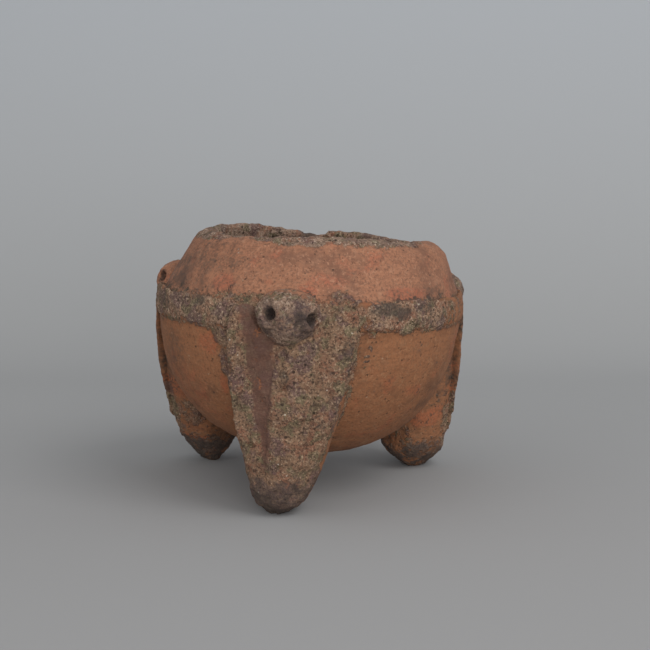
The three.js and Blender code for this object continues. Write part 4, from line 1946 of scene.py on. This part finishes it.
@dataclass
class Studio:
    """Plain grey sweep, soft lamps and the camera, in metres."""

    camera_place: tuple[float, float, float] = (0.0428, -0.3938, 0.1022)
    camera_pitch: float = math.radians(82.9)
    camera_yaw: float = math.radians(5.2)
    focal_pixels: float = 1209.7
    sensor: float = 36.0
    clip_start: float = 0.01
    floor_depth: float = 0.2
    floor_front: float = 1.2
    half_width: float = 1.6
    wall_height: float = 1.0
    bend: float = 0.35
    run_up: float = 0.007
    floor_tone: Tone = tone(157, 156, 156)
    # Paler tones for the back and the wall: painted light on the paper.
    back_tone: Tone = tone(163, 163, 163)
    wall_tone: Tone = tone(173, 176, 180)
    aim: tuple[float, float, float] = (0.0, 0.0, 0.05)
    room_tone: Tone = (0.97, 0.99, 1.0, 1.0)
    room_light: float = 0.62

    def set_camera(self) -> None:
        """Put the camera at the photograph's viewing angle."""
        free_hands()
        bpy.ops.object.camera_add(
            location=self.camera_place, rotation=(self.camera_pitch, 0.0, self.camera_yaw)
        )
        camera = bpy.context.object
        camera.name = "camera"
        camera.data.sensor_width = self.sensor
        camera.data.lens = self.sensor * self.focal_pixels / PHOTO_SIDE
        camera.data.clip_start = self.clip_start
        bpy.context.scene.camera = camera

    def lay_sweep(self) -> None:
        """Lay the floor and bend it up into the backdrop."""
        free_hands()
        bpy.ops.mesh.primitive_plane_add(size=2.0)
        sweep = bpy.context.object
        sweep.name = "sweep"
        places = points_of(sweep)
        places[:, 0] *= self.half_width
        places[:, 1] = np.where(places[:, 1] > 0, self.floor_depth, -self.floor_front)
        move_points(sweep, places)
        with opened(sweep) as shape:
            for edge in shape.edges:
                edge.select_set(all(vert.co.y > 0 for vert in edge.verts))
            bmesh.update_edit_mesh(sweep.data)
            bpy.ops.mesh.extrude_region_move(
                TRANSFORM_OT_translate={"value": (0.0, self.run_up, 0.0)}
            )
            centre = (0.0, self.floor_depth + self.run_up, self.bend)
            bpy.ops.mesh.spin(steps=40, angle=-math.pi / 2, center=centre, axis=(1, 0, 0))
            for height in (self.run_up, self.wall_height):
                bpy.ops.mesh.extrude_region_move(
                    TRANSFORM_OT_translate={"value": (0.0, 0.0, height)}
                )
            face_outward(MILLIMETRE)
        sweep.data.transform(Matrix.Rotation(self.camera_yaw, 4, "Z"))
        bpy.ops.object.shade_smooth()
        sweep.data.materials.append(self.paper())

    def paper(self) -> bpy.types.Material:
        """Make the sweep's grey paper, with painted light that makes it a little paler at the back
        and where it rises.

        Returns:
            The material.
        """
        paper = Network("grey_paper")
        place = paper.add("SeparateXYZ", {0: paper.place})
        colour: Socket | Tone = self.floor_tone
        # Painted light: the paper grows paler towards the back and up the wall.
        for axis, low, high, over in (
            ("Y", -0.05, 0.3, self.back_tone), ("Z", 0.02, 0.26, self.wall_tone),
        ):
            bounds = {"From Min": low, "From Max": high, "Value": place.outputs[axis]}
            rise = paper.add("MapRange", bounds).outputs["Result"]
            colour = paper.lay(rise, colour, over)
        return paper.close(colour, {"Roughness": 0.95, "Specular IOR Level": 0.1})

    def hang_lamp(
        self, name: str, place: tuple[float, float, float], size: float, power: float
    ) -> None:
        """Hang a soft square lamp that faces the jar.

        Args:
            name: The lamp's name.
            place: Where it hangs.
            size: Its side.
            power: Its power in watts.
        """
        aim = (Vector(self.aim) - Vector(place)).to_track_quat("-Z", "Y")
        free_hands()
        bpy.ops.object.light_add(type="AREA", location=place, rotation=aim.to_euler())
        lamp = bpy.context.object
        lamp.name = name
        lamp.data.size = size
        lamp.data.energy = power

    def light(self) -> None:
        """Light the jar softly from above, more from the right."""
        for name, place, size, power in (
            ("lamp_right", (0.75, -0.55, 1.0), 0.8, 6.0),
            ("lamp_left", (-0.85, -0.7, 0.2), 0.8, 2.0),
            ("lamp_front", (0.35, -1.1, 0.2), 0.6, 6.5),
        ):
            self.hang_lamp(name, place, size, power)
        world = bpy.data.worlds.new("room")
        world.use_nodes = True
        room = world.node_tree.nodes["Background"].inputs
        room["Color"].default_value = self.room_tone
        room["Strength"].default_value = self.room_light
        bpy.context.scene.world = world
        bpy.context.scene.view_settings.view_transform = "Standard"

    def build(self) -> None:
        """Set up the whole studio."""
        self.set_camera()
        self.lay_sweep()
        self.light()


# The whole jar


@dataclass
class TripodJar:
    """The whole jar: its wall, three ribbed legs with their heads and the bands between."""

    wall: JarWall = field(default_factory=JarWall)
    bench: Workshop = field(default_factory=Workshop)
    materials: dict[str, bpy.types.Material] = field(default_factory=dict)
    band_tuck: float = 2.9
    legs: tuple[RibbedLeg, ...] = (
        RibbedLeg(
            Side.FRONT, math.radians(0.4), math.radians(-5.0), -3.2, 2.0, 1.0,
            half_width=20.4, ankle=5.0, sole_share=0.6, sole_shift=-1.7,
        ),
        RibbedLeg(
            Side.RIGHT, math.radians(126.0), math.radians(-2.0), 4.4, 6.5, 1.16,
            ankle=8.3, sole_tuck=-1.2,
        ),
        RibbedLeg(
            Side.LEFT, math.radians(-114.0), math.radians(-12.0), 8.4, 3.0, 1.12,
            ankle=12.0, sole_share=0.34, sole_tuck=2.8,
        ),
    )
    heads: tuple[AnimalHead, ...] = (
        AnimalHead(
            Side.FRONT, math.radians(-1.3), proud=2.8, crown=6.6, eye_spread=6.3,
            eye_shift=1.7, eye_radius=2.4,
        ),
        AnimalHead(Side.RIGHT, math.radians(126.0), eye_rise=1.2),
        AnimalHead(Side.LEFT, math.radians(-106.0), proud=0.25, rise=2.25, eye_rise=3.6),
    )

    def make_bands(self) -> list[tuple[SeamBand, RibbedLeg, RibbedLeg]]:
        """Measure out the bands between the legs.

        Returns:
            Each band with the two legs that it runs between.
        """
        front, right, left = self.legs
        gap = math.asin((front.half_width - self.band_tuck) / BOWL_RADIUS)
        back_end = left.turn + 2.0 * math.pi - gap
        return [
            (SeamBand("front_right", front.turn + gap, right.turn - gap), front, right),
            (SeamBand("back", right.turn + gap, back_end), right, left),
            (SeamBand("front_left", left.turn + gap, front.turn - gap), left, front),
        ]

    def build(self) -> None:
        """Model, join, dress and hand over every piece."""
        bands = self.make_bands()
        names = [name for leg in self.legs for name in leg.neighbours([])]
        wall_joints = [Joint(name, 2.4) for name in names if "head" not in name]
        wall_joints += [Joint(name, 1.6, 6.0) for name in names if "head" in name]
        wall_joints += [Joint(band.name, 3.0) for band, _, _ in bands]
        self.bench.lay_out(self.wall.build(), wall_joints)
        LOG.info("wall turned")
        for leg, head in zip(self.legs, self.heads):
            joints = leg.neighbours([band.name for band, *ends in bands if leg in ends])
            pieces = [leg.build_leg(self.wall), leg.build_spine(), *leg.build_ribs()]
            for piece in (*pieces, head.build()):
                self.bench.lay_out(piece, joints[piece.name])
            LOG.info("leg %s modelled", leg.side.value)
        for band, *ends in bands:
            to_legs = [
                Joint(end.name(part), 1.6)
                for part in ("rib_left", "rib_right", "leg") for end in ends
            ]
            self.bench.lay_out(band.build(), [Joint("wall", 3.0), *to_legs])
            LOG.info("band %s laid", band.side)
        gaps = self.bench.join_all()
        LOG.info("joints smeared")
        self.dress_wall(gaps["wall"])
        for leg, head in zip(self.legs, self.heads):
            self.dress_leg(leg, head, gaps)
        for band, _, _ in bands:
            piece = self.bench.pieces[band.name]
            self.surface(piece, band.coat(piece))
            self.hand_over(piece, f"seam_band_{band.side}", "coarse_clay", BAND_FINISH)

    def dress_wall(self, gaps: dict[str, Values]) -> None:
        """Dress the wall and part it.

        Args:
            gaps: Distances of its points to its neighbours.
        """
        wall = self.bench.pieces["wall"]
        self.surface(wall, self.wall.coat(wall, gaps))
        finishes = (PAINTED_FINISH, SHOULDER_FINISH, BOWL_FINISH)
        for (part, piece), finish in zip(self.wall.part(wall).items(), finishes):
            self.hand_over(piece, *part.value, finish)

    def dress_leg(
        self, leg: RibbedLeg, head: AnimalHead, gaps: dict[str, dict[str, Values]]
    ) -> None:
        """Dress a leg's pieces and the head over it.

        Args:
            leg: The leg.
            head: The head.
            gaps: Distances of each piece's points to its neighbours.
        """
        side = leg.side.value
        for part, node in (
            ("leg", f"leg_{side}"), ("spine", f"leg_spine_{side}"),
            ("rib_left", f"leg_rib_{side}_left"), ("rib_right", f"leg_rib_{side}_right"),
        ):
            piece = self.bench.pieces[leg.name(part)]
            self.surface(piece, leg.coat(piece, gaps[piece.name]))
            self.hand_over(piece, node, "coarse_clay", COARSE_FINISH)
        piece = self.bench.pieces[head.name]
        self.surface(piece, head.coat(piece))
        self.hand_over(piece, f"effigy_head_{side}", "painted_clay", PAINTED_FINISH)

    def surface(self, piece: Piece, coat: Coat) -> None:
        """Press the relief into a piece, keep it on the floor and brush its coat on.

        Args:
            piece: The piece.
            coat: Its coat.
        """
        for relief in Relief:
            relief.press(piece, coat)
        places = points_of(piece)
        places[:, 2] = np.maximum(places[:, 2], 0.0)
        move_points(piece, places)
        coat.brush_on(piece)

    def hand_over(self, piece: Piece, node: str, slot: str, finish: ClayFinish) -> None:
        """Turn a piece into metres, give it its material and put it in its node's place.

        Args:
            piece: The finished piece.
            node: The CAD node that it stands for.
            slot: The record's slot; not used.
            finish: Its finish.
        """
        take(piece)
        piece.data.transform(Matrix.Scale(MILLIMETRE, 4))
        bpy.ops.object.shade_smooth_by_angle(angle=SMOOTH_ANGLE)
        piece.data.materials.clear()
        if finish.name not in self.materials:
            self.materials[finish.name] = ClayNetwork(finish).build()
        piece.data.materials.append(self.materials[finish.name])
        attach(piece, "root")
        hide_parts(node)
        LOG.info("%s stands for %s: %d faces", piece.name, node, len(piece.data.polygons))


def main() -> None:
    """Load the frame, build the studio and the jar."""
    logging.basicConfig(level=logging.INFO, format="%(name)s: %(message)s")
    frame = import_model()
    LOG.info("the frame has %d nodes", len(frame["nodes"]))
    Studio().build()
    TripodJar().build()


if __name__ == "__main__":
    main()
